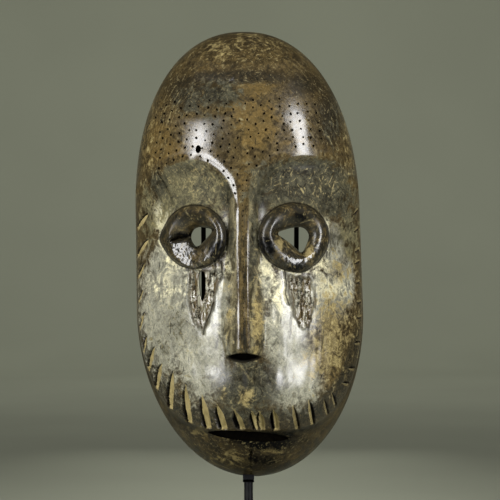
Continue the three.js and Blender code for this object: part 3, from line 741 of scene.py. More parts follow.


# Where the stains and worn patches lie, with some painted sheen and shadow, as (across, height, half width,
# half height, strength).
# Dull is where the wood has lost its shine, and crest is where the eye rings are polished by handling.
STAINS = {
    "residue": [
        (-55, 177, 8, 13, 1), (-50, 146, 7, 8, 0.6), (-46, 122, 13, 17, 0.36), (-33, 92, 10, 14, 0.2),
        (-13, 146, 3.5, 10, 0.6), (-15, 172, 3, 9, 0.5), (12, 139, 6, 7, 0.8), (4, 163, 2.5, 18, 0.3),
        (46, 142, 15, 6, 0.55), (60, 128, 8, 14, 0.5), (18, 122, 7, 16, 0.55), (46, 118, 14, 16, 0.5),
        (22, 186, 16, 3, 0.3), (-44, 184, 14, 3.5, 0.8), (-33, 183.5, 10, 2, 0.7), (43, 178, 5, 2.5, 0.8),
        (51, 170, 2.5, 6, 0.8), (-33, 122, 8, 13, 0.3), (-58, 128, 8, 12, 0.45), (54, 126, 8, 8, 0.7),
    ],
    # Weathered grey wood, whose pale grey on the cheeks and at their edges also stands for painted sheen
    # where the face catches light.
    "silver_and_sheen": [
        (65, 132, 5, 16, 1), (-56, 140, 10, 16, 1), (-52, 112, 20, 42, 1), (-30, 84, 16, 30, 1),
        (57, 152, 9, 20, 0.8), (24, 104, 14, 34, 1), (30, 72, 17, 22, 1), (50, 120, 18, 24, 0.8),
        (-20, 120, 9, 20, 0.9), (22, 60, 14, 10, 0.8), (12, 136, 5, 20, 0.8),
    ],
    "ochre": [
        (54, 102, 14, 24, 0.7), (48, 82, 13, 13, 0.7), (-15, 287, 14, 7, 0.42), (4, 291, 24, 6, 0.36),
        (-2, 57, 5, 6, 0.62), (-16, 60, 2.5, 5, 0.5), (-26, 203, 9, 7, 0.35), (60, 140, 9, 12, 0.5),
        (-66, 224, 5, 30, 0.3), (66, 240, 5, 30, 0.25), (64, 212, 6, 12, 0.3), (-13, 112, 4, 26, 0.4),
        (6, 108, 4, 24, 0.65), (-6, 14, 18, 8, 0.4), (20, 158, 8, 6, 0.5), (40, 152, 5, 6, 0.5),
        (14, 20, 9, 4, 0.6), (-36, 34, 10, 5, 0.4),
    ],
    "rust": [
        (2, 260, 12, 8, 1), (-4, 245, 9, 7, 0.8), (7, 236, 14, 13, 0.8), (4, 226, 9, 7, 0.7),
        (-61, 224, 8, 13, 0.9), (-51, 218, 10, 6, 0.8), (27, 222, 12, 7, 0.5), (53, 219, 8, 7, 0.6),
        (66, 190, 6, 26, 0.6), (-3, 200, 5, 14, 0.6), (-28, 272, 12, 5, 0.4), (58, 70, 12, 14, 0.6),
        (-58, 250, 6, 8, 0.4),
    ],
    "dark": [
        (-8, 266, 34, 4.5, 1), (-40, 258, 14, 10, 0.9), (38, 262, 14, 8, 0.8), (54, 240, 9, 24, 0.8),
        (-28, 240, 8, 12, 0.4), (12, 28, 22, 7, 0.9), (34, 40, 14, 8, 0.7), (-38, 40, 14, 7, 0.5),
        (-16, 222, 8, 8, 0.5), (62, 90, 7, 20, 0.5), (-66, 130, 4, 40, 0.4), (8, 14, 12, 8, 0.6),
        (-19, 152, 5, 7, 1), (11, 154, 5, 7, 1), (31, 141.5, 6, 3, 1), (34, 173, 5, 4, 0.8),
        # The last spot is painted shadow in the slit of the left eye, under its upper lid.
        (-44, 162.2, 6, 1.8, 0.9),
    ],
    "slate": [
        (-19, 255, 14, 8, 0.9), (-38, 250, 12, 8, 0.7), (-22, 234, 10, 10, 0.5), (56, 237, 8, 14, 0.5),
        (1, 66, 22, 16, 1), (0, 46, 32, 4, 0.6), (36, 203, 30, 8, 1), (30, 192, 30, 10, 0.8),
        (56, 186, 14, 12, 0.9), (-60, 196, 8, 9, 0.7), (-14, 190, 4, 12, 0.9), (-12, 160, 3, 16, 0.7),
        (8, 186, 7, 12, 0.8), (3, 152, 3, 24, 0.9), (56, 160, 7, 8, 0.6), (-48, 106, 12, 12, 0.4),
        (-56, 88, 8, 12, 0.35), (40, 100, 8, 8, 0.4), (-34, 98, 6, 9, 0.4), (-40, 206, 20, 5, 0.5),
    ],
    "socket": [
        (-38, 192, 28, 18, 1), (38, 190, 32, 16, 1), (66, 165, 8, 22, 0.7), (-66, 175, 6, 20, 0.6),
    ],
    "scratched": [
        (40, 196, 26, 12, 1), (-36, 192, 24, 14, 0.6), (58, 240, 14, 34, 0.6), (-55, 250, 16, 30, 0.6),
        (0, 284, 40, 14, 0.7), (50, 110, 18, 30, 0.3), (-50, 110, 18, 30, 0.3), (0, 66, 22, 14, 0.25),
        (0, 22, 44, 16, 0.2),
    ],
    "polish": [
        (-28, 86, 9, 30, 1), (20, 100, 10, 30, 1), (30, 74, 13, 22, 1), (65, 132, 4, 16, 1),
        (-58, 132, 6, 20, 0.8), (-30, 220, 11, 14, 1), (36, 228, 15, 18, 1), (8, 158, 3.5, 24, 0.7),
    ],
    "dull": [
        (-32, 251, 24, 12, 1), (0, 292, 50, 16, 0.9), (-50, 268, 16, 20, 0.7), (50, 268, 16, 20, 0.7),
    ],
    "crest": [
        (-47, 152, 7, 9, 0.85), (-36, 146, 12, 5, 0.8), (-19.5, 165, 3.5, 7, 0.9), (-50, 168, 4, 8, 0.3),
        (16.5, 171, 4, 8, 0.9), (48, 163, 4, 10, 0.9), (36, 147, 13, 4, 0.9),
    ],
}
CARVED_FINISHES = ["ring", "rot", "bare", "gouge", "crack", "under", "worn", "nose", "band", "pit", "inside"]
FINISHES = [*CARVED_FINISHES, *STAINS]


def spread(spots, places):
    """How strongly a list of spots shows at places."""
    total = np.zeros(len(places))
    for across, height, wide, tall, strength in spots:
        away = ((places[:, 0] - across) / wide) ** 2 + ((places[:, 1] - height) / tall) ** 2
        total = np.maximum(total, strength * np.exp(-0.7 * away))
    return total


def stains(places, angle, share, brow):
    """How strongly each stain shows at places on the front."""
    around = np.zeros(len(places))
    for eye in (LEFT_EYE, RIGHT_EYE):
        outer, _ = eye_measures(eye, *places.T)
        around = np.maximum(around, np.exp(-((outer - 1.02) / 0.04) ** 2))
    low = smoothstep(-np.sin(angle), 0.45, 0.75)
    notched = np.exp(-((edge_share(angle) - share - 0.045) / 0.055) ** 2) * low
    shown = {name: spread(spots, places) for name, spots in STAINS.items()}
    shown["residue"] = np.clip(np.maximum(shown["residue"], 0.62 * around), 0, 1)
    shown["socket"] = shown["socket"] * (1 - smoothstep(brow, -2, 0))
    shown["dark"] = np.maximum(shown["dark"], notched)
    return shown


def hollow_surface(flat):
    """Points of the hollow behind the face, with the marks of the adze."""
    angle, share, across, height = roll_up(flat, rim_width)
    broad = 0.9 * layered_noise(across / 13, height / 18, 71, 2)
    narrow = 0.25 * lattice_noise(across / 3, height / 9, 75)
    depth = HOLLOW_DEPTH * np.sqrt(1 - share ** 2) - (broad + narrow + 0.9) * (1 - share ** 8)
    return np.column_stack([across, depth, height])


def hex_grid(half_across, low, high, gap):
    rows = np.arange(low, high, gap * math.sqrt(3) / 2)
    columns = np.arange(-half_across, half_across, gap)
    x, y = np.meshgrid(columns, rows)
    x = x + (np.arange(len(rows)) % 2)[:, None] * gap / 2
    return np.column_stack([x.ravel(), y.ravel()])


def flat_grid(gap, ring, margin=0):
    """Evenly spread flat places inside an outline."""
    low = -math.pi / 2 * MIDDLE_HEIGHT
    high = math.pi / 2 * (MASK_HEIGHT - MIDDLE_HEIGHT)
    grid = hex_grid(math.pi / 2 * CHEEK_HALF_WIDTH + margin, low, high, gap)
    return grid[is_inside(grid, ring)]


def numbered(rows):
    """The numbers of the points in each of several rows that come one after another."""
    ends = np.cumsum([len(row) for row in rows])
    return [np.arange(end - len(row), end) for row, end in zip(rows, ends)]


def clear_of(points, others, gap):
    """The points that are at least a gap away from the others."""
    tree = KDTree(len(others))
    for index, (x, y) in enumerate(others):
        tree.insert((x, y, 0), index)
    tree.balance()
    keep = [tree.find((x, y, 0))[2] >= gap for x, y in points]
    return points[np.array(keep, bool)]


def thinned(points, gap):
    """Points of which none is closer to one before it than a gap."""
    kept = []
    cells = {}
    for x, y in points:
        key = (int(x // gap), int(y // gap))
        near = [cells.get((key[0] + i, key[1] + k), ()) for i in (-1, 0, 1) for k in (-1, 0, 1)]
        if any(math.hypot(x - a, y - b) < gap for group in near for a, b in group):
            continue
        cells.setdefault(key, []).append((x, y))
        kept.append((x, y))
    return np.array(kept)


def triangulate(points, loops):
    """Triangles over points in the plane. The first loop is the outline and the others are holes."""
    edges = [(int(a), int(b)) for loop in loops for a, b in zip(loop, np.roll(loop, -1))]
    result = delaunay_2d_cdt([Vector((x, y)) for x, y in points], edges, [], 0, 1e-6, True)
    source = np.array([origin[0] if origin else -1 for origin in result[3]])
    triangles = source[np.array(result[2])]
    middles = points[triangles].mean(axis=1)
    on_loop = np.full(len(points), -1)
    for index, loop in enumerate(loops):
        on_loop[loop] = index
    owner = on_loop[triangles]
    same = (owner[:, 0] == owner[:, 1]) & (owner[:, 1] == owner[:, 2])
    keep = np.ones(len(triangles), bool)
    for index, loop in enumerate(loops):
        candidates = np.nonzero(same & (owner[:, 0] == index))[0]
        inside = is_inside(middles[candidates], points[loop])
        keep[candidates] = inside if index == 0 else ~inside
    return triangles[keep]


def outline_ring(inset=no_inset):
    """Flat places along the outline, evenly spaced as seen from the front."""
    angles = np.linspace(-math.pi, math.pi, 4 * OUTLINE_POINTS, endpoint=False)
    seen = reach(angles)[:, None] * np.column_stack([np.cos(angles), np.sin(angles)])
    closed = np.vstack([seen, seen[:1]])
    lengths = np.concatenate([[0], np.cumsum(np.hypot(*np.diff(closed, axis=0).T))])
    at = np.linspace(0, lengths[-1], OUTLINE_POINTS, endpoint=False)
    turned = np.interp(at, lengths, np.append(angles, math.pi))
    length = (reach(turned) - inset(turned)) * math.pi / 2
    return np.column_stack([length * np.cos(turned), length * np.sin(turned)]), turned


def brow_creases(gap):
    line = spaced(BROW_LINE, gap * 1.25)
    normal = np.gradient(line, axis=0)
    normal = np.column_stack([-normal[:, 1], normal[:, 0]]) / np.hypot(*normal.T)[:, None]
    offsets = (-7.0, -5.4, -4.0, -2.8, -1.7, -0.7, 0.2, 1.2, 2.3, 3.5, 4.7)
    return [line + normal * offset for offset in offsets]


def nose_creases(gap):
    heights = np.arange(NOSE_END + 1, 196, gap * 1.2)
    middle = NOSE_MIDDLE + NOSE_DRIFT * (NOSE_TOP - heights) / (NOSE_TOP - NOSE_TIP)
    lines = []
    for offset in (-0.9, -0.3, 0.3, 0.5 * NOSE_BEVEL, NOSE_BEVEL, NOSE_BEVEL + 0.7):
        for side in (-1, 1):
            lines.append(np.column_stack([middle + side * (NOSE_BAND / 2 + offset), heights]))
    for foot in (NOSE_LEFT, NOSE_RIGHT):
        lines.append(np.column_stack([np.interp(heights, NOSE_HEIGHTS, foot), heights]))
    across = np.arange(-15, 9, gap)
    for height in (NOSE_END - 0.6, NOSE_END - 0.1, NOSE_END + 0.4, NOSE_END + 0.9):
        lines.append(np.column_stack([across, np.full(len(across), height)]))
    return lines


def eye_creases(gap):
    turns = np.linspace(0, 2 * math.pi, int(140 / gap), endpoint=False)
    circle = np.column_stack([np.cos(turns), np.sin(turns)])
    lines = []
    for eye in (LEFT_EYE, RIGHT_EYE):
        for scale in (1.0, 0.985, 0.96):
            lines.append(eye["middle"] + circle * eye["outer"] * scale)
        lines.append(eye["crest_middle"] + circle * eye["crest"])
        if eye["slit"]:
            slit = spaced(eye["slit"], gap * 0.8)
            lines += [slit[1:] + (0, lift) for lift in (0, -0.7, 0.7, -1.5, 1.5)]
    return lines


def cut_creases(cut, gap):
    travel = np.arange(0, 1 + 2.8 / cut["length"], gap / cut["length"])
    half = cut["width"] / 2 * cut_widening(travel)
    ahead = cut["start"] + travel[:, None] * cut["length"] * cut["along"]
    sides = cut["side"] * np.array([*cut_knots(cut), 0.1])
    return [roll_out((ahead + (half * side)[:, None] * cut["across"])[:, [0, 2]]) for side in sides]


def feature_points(gap):
    """Flat places along every crease of the carving."""
    lines = brow_creases(gap) + nose_creases(gap) + eye_creases(gap)
    for crack in CRACK_LINES:
        lines += [spaced(crack["line"], gap) + (offset * crack["width"], 0) for offset in (-0.5, 0, 0.5)]
    flats = [roll_out(np.vstack(lines))]
    for cut in cut_list():
        flats += cut_creases(cut, gap)
    angles = np.radians(np.arange(150, 395, 0.45))
    for add in (0, 0.5, 1):
        flats.append(roll_out(place_at(angles, edge_share(angles) + add * edge_run(angles))))
    return thinned(np.vstack(flats), gap * 0.42)


def wants_fine(flat):
    """Whether the carving is fine enough at flat places to need close points."""
    angle, share, across, height = roll_up(flat)
    places = np.column_stack([across, height])
    fine = np.zeros(len(flat), bool)
    for eye in (LEFT_EYE, RIGHT_EYE):
        outer, _ = eye_measures(eye, across, height)
        fine |= outer < 1.09
    for outline in (LEFT_ROT, RIGHT_ROT):
        fine |= depth_inside(places, outline) > -2.5
    left = np.interp(height, NOSE_HEIGHTS, NOSE_LEFT)
    right = np.interp(height, NOSE_HEIGHTS, NOSE_RIGHT)
    fine |= (across > left - 1.5) & (across < right + 1.5) & (height > 77) & (height < 202)
    return fine


def wants_medium(flat):
    """Whether flat places lie in the band of the knife cuts or round the mouth."""
    angle, share, across, height = roll_up(flat)
    turned = np.degrees(angle) % 360
    low = (turned > 150) | (turned < 22)
    band = low & (share > edge_share(angle) - 0.15) & (share < edge_share(angle) + 0.03)
    mouth = (np.abs(across) < 32) & (height > 22) & (height < 44)
    return band | mouth


def punch_points(marks, wide, deep, corners, rng):
    """Flat places and depths of the punched pits. Each has a rim, a wall and a middle."""
    turns = np.linspace(0, 2 * math.pi, corners, endpoint=False)
    ring = np.column_stack([np.cos(turns), np.sin(turns)])
    places, depths = [], []
    for mark in marks:
        radius = wide / 2 * rng.uniform(0.8, 1.2)
        tall = rng.uniform(1.0, 1.3)
        tilt = rng.uniform(-0.25, 0.25)
        fall = deep * rng.uniform(0.7, 1.15)
        oval = ring * (radius, radius * tall)
        oval = oval + np.column_stack([oval[:, 1] * tilt, np.zeros(corners)])
        places.append(mark + oval)
        depths.append(np.zeros(corners))
        places.append(mark + oval * 0.62)
        depths.append(np.full(corners, fall * 0.8))
        places.append(mark[None, :])
        depths.append(np.array([fall]))
    return roll_out(np.vstack(places)), np.concatenate(depths)


def opening_outlines():
    """The outline of each opening of the front, as places across and up."""
    plans = {"left_eye": LEFT_EYE["hole"], "right_eye": RIGHT_EYE["hole"], "crack": CRACK}
    outlines = {name: spaced(softened(points), 0.7, closed=True) for name, points in plans.items()}
    outlines["mouth"] = mouth_outline(0.9)
    outlines["nail"] = spaced(softened(NAIL_HOLE), 0.6, closed=True)
    return outlines


def filling_points(sizes, ring, fixed, pits, creases, in_opening, rng):
    """Flat places all over the front, closer where the carving is finer, and clear of the others."""
    layers = []
    for gap, wanted in ((sizes.fine_gap, "fine"), (sizes.medium_gap, "medium"), (sizes.coarse_gap, "coarse")):
        grid = flat_grid(gap, ring, margin=4)
        fine = wants_fine(grid)
        medium = wants_medium(grid) & ~fine
        grid = grid[{"fine": fine, "medium": medium, "coarse": ~fine & ~medium}[wanted]]
        grid = grid + rng.uniform(-0.12, 0.12, grid.shape) * gap
        grid = grid[~in_opening(grid)]
        grid = clear_of(grid, np.vstack([fixed, creases]), gap * 0.6)
        layers.append(clear_of(grid, pits, min(gap * 0.6, 0.8)))
    return np.vstack(layers)


def mask_mesh(sizes, marks, bridge_marks):
    """The whole mask as points, triangles and finishes."""
    rng = np.random.default_rng(5)
    ring, ring_angles = outline_ring()
    openings = opening_outlines()
    flat_openings = {name: roll_out(outline) for name, outline in openings.items()}
    fixed = np.vstack([ring, *flat_openings.values()])
    pits, pit_depths = punch_points(marks, sizes.punch_width, sizes.punch_depth, 8, rng)
    bridge, bridge_depths = punch_points(bridge_marks, sizes.nose_mark_width, sizes.nose_mark_depth, 6, rng)

    def in_opening(flat):
        return np.any([is_inside(flat, outline) for outline in flat_openings.values()], axis=0)

    kept = ~in_opening(pits)
    all_pits = np.vstack([pits[kept], bridge])
    creases = feature_points(sizes.fine_gap)
    creases = creases[~in_opening(creases) & is_inside(creases, ring)]
    creases = clear_of(creases, fixed, sizes.fine_gap * 0.45)
    creases = clear_of(creases, all_pits, 0.55)
    filling = filling_points(sizes, ring, fixed, all_pits, creases, in_opening, rng)
    flat = np.vstack([fixed, all_pits, creases, filling])
    sunk = np.zeros(len(flat))
    sunk[len(fixed):len(fixed) + len(all_pits)] = np.concatenate([pit_depths[kept], bridge_depths])
    rows = numbered([ring, *flat_openings.values()])
    points, finish = front_surface(flat, sunk)
    build = MeshBuild(points, triangulate(flat, rows), finish)
    names = dict(zip(flat_openings, rows[1:]))
    close_well(build, names["mouth"], MOUTH["deep"], MOUTH["rise"])
    close_well(build, names["nail"], NAIL_DEPTH, 0)
    rim = close_rim(build, rows[0], ring_angles)
    through = {name: names[name] for name in ("left_eye", "right_eye", "crack")}
    close_hollow(build, rim, through, openings, sizes.hollow_gap)
    return build


class MeshBuild:
    """The points, triangles and finishes of the mask while it grows."""

    def __init__(self, points, triangles, finish):
        self.points = points
        self.triangles = [triangles]
        self.finish = finish

    def add_points(self, points, **finish):
        first = len(self.points)
        self.points = np.vstack([self.points, points])
        for name in FINISHES:
            more = np.full(len(points), float(finish.get(name, 0)))
            self.finish[name] = np.concatenate([self.finish[name], more])
        return np.arange(first, first + len(points))

    def bridge(self, first, second):
        """Triangles between two closed rows with as many points."""
        after_first = np.roll(first, -1)
        after_second = np.roll(second, -1)
        lower = np.column_stack([first, after_first, after_second])
        upper = np.column_stack([first, after_second, second])
        self.triangles.append(np.vstack([lower, upper]))

    def cap(self, row):
        # The middle of the floor is painted near black as shade, like the walls.
        middle = self.add_points(self.points[row].mean(axis=0)[None, :], pit=1)
        middles = np.full(len(row), middle[0])
        self.triangles.append(np.column_stack([row, np.roll(row, -1), middles]))


def close_well(build, row, deep, rise):
    """A blind hole that starts at a row of the front and ends in a floor."""
    top = build.points[row]
    floor_depth = top[:, 1].max() - deep
    previous = row
    for share in (0.06, 0.3, 0.65, 1):
        points = top.copy()
        points[:, 1] = lerp(top[:, 1], floor_depth, share)
        points[:, 2] = top[:, 2] + rise * share
        centre = points.mean(axis=0)
        points[:, [0, 2]] = lerp(points[:, [0, 2]], centre[[0, 2]], 0.03 * share)
        # The walls and the floor of the well are painted near black as shade.
        current = build.add_points(points, pit=1)
        build.bridge(current, previous)
        previous = current
    build.cap(previous)


def close_rim(build, row, angles):
    """The flat rim behind the outline, with worn edges. The rows end where the hollow starts."""
    outline = build.points[row]
    width = rim_width(angles)
    direction = np.column_stack([np.cos(angles), np.sin(angles)])
    wear = 0.35 + 0.35 * lattice_noise(np.degrees(angles) / 7, np.zeros(len(angles)), 91)
    previous = row

    # How far in and how deep each row lies. The first three follow the worn edge in millimetres, and the
    # others go in by shares of the rim's width.
    plan = [(0.12, -0.18), (0.45, -0.42), (1.1, -RIM_BACK), (0.3, -RIM_BACK), (0.6, -RIM_BACK)]
    for index, (inset, depth) in enumerate(plan):
        gap = inset * (1 + wear) if index < 3 else inset * width
        points = outline.copy()
        points[:, [0, 2]] -= direction * gap[:, None]
        points[:, 1] = depth + (0.12 * wear if index >= 2 else 0)
        current = build.add_points(points, inside=0.3 + 0.1 * index)
        build.bridge(previous, current)
        previous = current
    return previous


def close_hollow(build, rim, through, openings, gap):
    """The hollow behind, from the rim to the walls of the openings that go right through."""
    ring, _ = outline_ring(rim_width)
    flats = [ring] + [roll_out(openings[name], rim_width) for name in through]
    fixed = np.vstack(flats)
    grid = flat_grid(gap, ring)
    for flat in flats[1:]:
        grid = grid[~is_inside(grid, flat)]
    flat = np.vstack([fixed, clear_of(grid, fixed, gap * 0.5)])
    rows = numbered(flats)
    added = build.add_points(hollow_surface(flat), inside=1)
    build.triangles.append(added[triangulate(flat, rows)][:, ::-1])
    build.bridge(rim, added[rows[0]])
    for row, (name, front) in zip(rows[1:], through.items()):
        back = added[row]
        previous = front
        for share in (0.12, 0.5, 0.88):
            points = lerp(build.points[front], build.points[back], share)
            # The walls of the openings get the ring's wood, some rotted wood and half the painted groove
            # shade.
            current = build.add_points(points, ring=1 if name != "crack" else 0, rot=0.4, gouge=0.5)
            build.bridge(current, previous)
            previous = current
        build.bridge(back, previous)


def add_node(tree, kind, inputs=None, **settings):
    """A node with its settings and its inputs, each a value or the output that feeds it."""
    node = tree.nodes.new(kind)
    node.location.x = 190 * len(tree.nodes)
    for name, value in settings.items():
        setattr(node, name, value)
    for key, value in (inputs or {}).items():
        if isinstance(value, bpy.types.NodeSocket):
            tree.links.new(value, node.inputs[key])
        else:
            node.inputs[key].default_value = value
    return node


def new_geometry_tree(name, inputs):
    """A geometry tree with named inputs. Gives the tree, the node that holds them, and their identifiers."""
    tree = bpy.data.node_groups.new(name, "GeometryNodeTree")
    tree.interface.new_socket(name="Geometry", in_out="INPUT", socket_type="NodeSocketGeometry")
    identifiers = {}
    for label, kind in inputs:
        socket = tree.interface.new_socket(name=label, in_out="INPUT", socket_type="NodeSocket" + kind)
        identifiers[label] = socket.identifier
    tree.interface.new_socket(name="Geometry", in_out="OUTPUT", socket_type="NodeSocketGeometry")
    start = tree.nodes.new("NodeGroupInput")
    return tree, start, identifiers


def end_geometry_tree(tree, start, geometry):
    """Every tree ends in Realize Instances and Set Material."""
    real = add_node(tree, "GeometryNodeRealizeInstances", {"Geometry": geometry})
    inputs = {"Geometry": real.outputs[0], "Material": start.outputs["Material"]}
    painted = add_node(tree, "GeometryNodeSetMaterial", inputs)
    end = tree.nodes.new("NodeGroupOutput")
    tree.links.new(painted.outputs[0], end.inputs[0])


def maths(tree, operation, first, second=0.0):
    return add_node(tree, "ShaderNodeMath", {0: first, 1: second}, operation=operation).outputs[0]


def scaled(tree, vector, scale):
    return add_node(tree, "ShaderNodeVectorMath", {0: vector, "Scale": scale}, operation="SCALE").outputs[0]


def moved(tree, geometry, offset):
    return add_node(tree, "GeometryNodeSetPosition", {"Geometry": geometry, "Offset": offset}).outputs[0]


def punch_row_tree():
    """Rows of punch marks parallel to a brow line, which stop at the middle of the forehead."""
    sizes = ["Row Spacing", "Pitch", "First Row", "Jitter", "Middle", "Side", "Highest", "Widest"]
    inputs = [(label, "Float") for label in sizes]
    inputs += [("Rows", "Int"), ("Seed", "Int"), ("Material", "Material")]
    tree, start, identifiers = new_geometry_tree("Punch Rows", inputs)
    given = start.outputs
    line = add_node(tree, "GeometryNodeMeshToCurve", {"Mesh": given["Geometry"]}).outputs[0]
    rows = add_node(tree, "GeometryNodeDuplicateElements", {"Geometry": line, "Amount": given["Rows"]},
                    domain="SPLINE")
    tangent = add_node(tree, "GeometryNodeInputTangent").outputs[0]
    upward = add_node(tree, "ShaderNodeVectorMath", {0: tangent, 1: (0, 1, 0)}, operation="CROSS_PRODUCT")
    climb = maths(tree, "MULTIPLY", rows.outputs["Duplicate Index"], given["Row Spacing"])
    climb = maths(tree, "ADD", climb, given["First Row"])
    raised = moved(tree, rows.outputs[0], scaled(tree, upward.outputs[0], climb))
    marks = add_node(tree, "GeometryNodeCurveToPoints", {"Curve": raised, "Length": given["Pitch"]},
                     mode="LENGTH")
    back = scaled(tree, (-1, 0, -1), given["Jitter"])
    forth = scaled(tree, (1, 0, 1), given["Jitter"])
    shake = add_node(tree, "FunctionNodeRandomValue", {0: back, 1: forth, "Seed": given["Seed"]},
                     data_type="FLOAT_VECTOR")
    shaken = moved(tree, marks.outputs[0], shake.outputs[0])
    position = add_node(tree, "GeometryNodeInputPosition").outputs[0]
    place = add_node(tree, "ShaderNodeSeparateXYZ", {0: position})
    from_middle = maths(tree, "SUBTRACT", place.outputs["X"], given["Middle"])
    from_middle = maths(tree, "MULTIPLY", from_middle, given["Side"])
    past = maths(tree, "LESS_THAN", from_middle, maths(tree, "MULTIPLY", given["Pitch"], 0.3))
    wide = maths(tree, "GREATER_THAN", from_middle, given["Widest"])
    high = maths(tree, "GREATER_THAN", place.outputs["Z"], given["Highest"])
    away = maths(tree, "ADD", maths(tree, "ADD", past, wide), high)
    kept = add_node(tree, "GeometryNodeDeleteGeometry", {"Geometry": shaken, "Selection": away},
                    domain="POINT")
    single = add_node(tree, "GeometryNodePointsToVertices", {"Points": kept.outputs[0]})
    end_geometry_tree(tree, start, single.outputs[0])
    return tree, identifiers


def polyline_object(places):
    """An object with edges from one place to the next. The places are in millimetres."""
    mesh = bpy.data.meshes.new("line")
    edges = [(k, k + 1) for k in range(len(places) - 1)]
    mesh.from_pydata([[float(value) * MM for value in place] for place in places], edges, [])
    made = bpy.data.objects.new("line", mesh)
    bpy.context.scene.collection.objects.link(made)
    return made


def grown_mesh(source, tree, identifiers, values):
    """Runs a geometry tree on an object and gives the result as a plain mesh. The object is then removed."""
    modifier = source.modifiers.new(tree.name, "NODES")
    modifier.node_group = tree
    for label, value in values.items():
        modifier[identifiers[label]] = value
    graph = bpy.context.evaluated_depsgraph_get()
    mesh = bpy.data.meshes.new_from_object(source.evaluated_get(graph), preserve_all_data_layers=True,
                                           depsgraph=graph)
    bpy.data.objects.remove(source)
    return mesh


# Where the punched rows end on either side, and the seeds of their uneven spacing.
PUNCH_SIDES = [
    {"brow": LEFT_BROW, "side": -1.0, "highest": 251, "widest": 58, "seed": 3},
    {"brow": RIGHT_BROW, "side": 1.0, "highest": 252, "widest": 53, "seed": 8},
]
PUNCH_ROWS = 8
PUNCH_CLOSEST = 3.2
PUNCHES_MISSING = 0.06


def punch_marks(sizes, wood):
    """Where the forehead is punched, as places across and up."""
    tree, identifiers = punch_row_tree()
    found = []
    for plan, first_row in zip(PUNCH_SIDES, (sizes.left_first_row, sizes.right_first_row)):
        start = polyline_object([(x, 0, z) for x, z in smooth_line(plan["brow"], 60)])
        mesh = grown_mesh(start, tree, identifiers, {
            "Row Spacing": sizes.row_spacing * MM, "Pitch": sizes.punch_pitch * MM,
            "First Row": first_row * MM, "Jitter": sizes.punch_jitter * MM, "Middle": NOSE_MIDDLE * MM,
            "Side": plan["side"], "Highest": plan["highest"] * MM, "Widest": plan["widest"] * MM,
            "Rows": PUNCH_ROWS, "Seed": plan["seed"], "Material": wood,
        })
        found += [(vertex.co.x / MM, vertex.co.z / MM) for vertex in mesh.vertices]
        bpy.data.meshes.remove(mesh)
    marks = thinned(np.array(found), PUNCH_CLOSEST)
    _, share, _, _ = roll_up(roll_out(marks))
    there = np.random.default_rng(2).uniform(0, 1, len(marks)) > PUNCHES_MISSING
    return marks[(share < 0.93) & there]


def nose_marks(sizes):
    """A row of small marks down the nose between its two ridges."""
    heights = np.arange(89, 197, sizes.nose_pitch)
    rng = np.random.default_rng(4)
    down = (NOSE_TOP - heights) / (NOSE_TOP - NOSE_TIP)
    across = NOSE_MIDDLE + NOSE_DRIFT * down + rng.uniform(-0.3, 0.3, len(heights))
    return np.column_stack([across, heights + rng.uniform(-0.3, 0.3, len(heights))])


class Paint:
    """A new material, with short ways to add the nodes that feed its shader."""

    def __init__(self, name):
        self.material = bpy.data.materials.new(name)
        self.material.use_nodes = True
        self.tree = self.material.node_tree
        self.tree.nodes.clear()
        self.shader = self.tree.nodes.new("ShaderNodeBsdfPrincipled")
        end = self.tree.nodes.new("ShaderNodeOutputMaterial")
        self.tree.links.new(self.shader.outputs[0], end.inputs[0])
        self.place = self.node("ShaderNodeTexCoord").outputs["Object"]

    def node(self, kind, inputs=None, **settings):
        return add_node(self.tree, kind, inputs, **settings)

    def feed(self, name, value):
        self.tree.links.new(value, self.shader.inputs[name])

    def painted(self, name):
        return self.node("ShaderNodeAttribute", attribute_name=name).outputs["Fac"]

    def noise(self, place, scale, detail, roughness, distortion=0.0):
        inputs = {"Vector": place, "Scale": scale, "Detail": detail, "Roughness": roughness,
                  "Distortion": distortion}
        return self.node("ShaderNodeTexNoise", inputs).outputs[0]

    def mixed(self, share, first, second, way="MIX"):
        """One colour over another. Each is an output or a tone."""
        ends = [end if isinstance(end, bpy.types.NodeSocket) else (*end, 1) for end in (first, second)]
        inputs = {0: share, 6: ends[0], 7: ends[1]}
        return self.node("ShaderNodeMix", inputs, data_type="RGBA", blend_type=way).outputs[2]

    def ranged(self, value, low, high, to_low=0.0, to_high=1.0):
        inputs = {"Value": value, "From Min": low, "From Max": high, "To Min": to_low, "To Max": to_high}
        return self.node("ShaderNodeMapRange", inputs, interpolation_type="SMOOTHSTEP").outputs[0]

    def times(self, first, second):
        return maths(self.tree, "MULTIPLY", first, second)

    def plus(self, *terms):
        """The sum of several numbers, each an output or a pair of an output and its weight."""
        values = [self.times(*term) if isinstance(term, tuple) else term for term in terms]
        total = values[0]
        for value in values[1:]:
            total = maths(self.tree, "ADD", total, value)
        return total

    def largest(self, *values):
        """The largest of several numbers, each an output or the name of a finish."""
        values = [self.painted(value) if isinstance(value, str) else value for value in values]
        top = values[0]
        for value in values[1:]:
            top = maths(self.tree, "MAXIMUM", top, value)
        return top

    def even(self, value):
        """A number as a grey colour."""
        return self.node("ShaderNodeCombineColor", {0: value, 1: value, 2: value}).outputs[0]

    def bumped(self, height, strength, depth):
        inputs = {"Height": height, "Strength": strength, "Distance": depth}
        self.feed("Normal", self.node("ShaderNodeBump", inputs).outputs[0])


# Thin scratches and small cracks, as noise that is drawn out in one direction:
# (degrees from the upright, scale, length, level at which they begin).
SCRATCHES = [(24, 700, 12, 0.62), (-33, 640, 12, 0.62), (74, 600, 10, 0.63), (4, 800, 14, 0.64)]
FINE_CRACKS = [(7, 420, 9, 0.29), (-52, 520, 8, 0.28)]


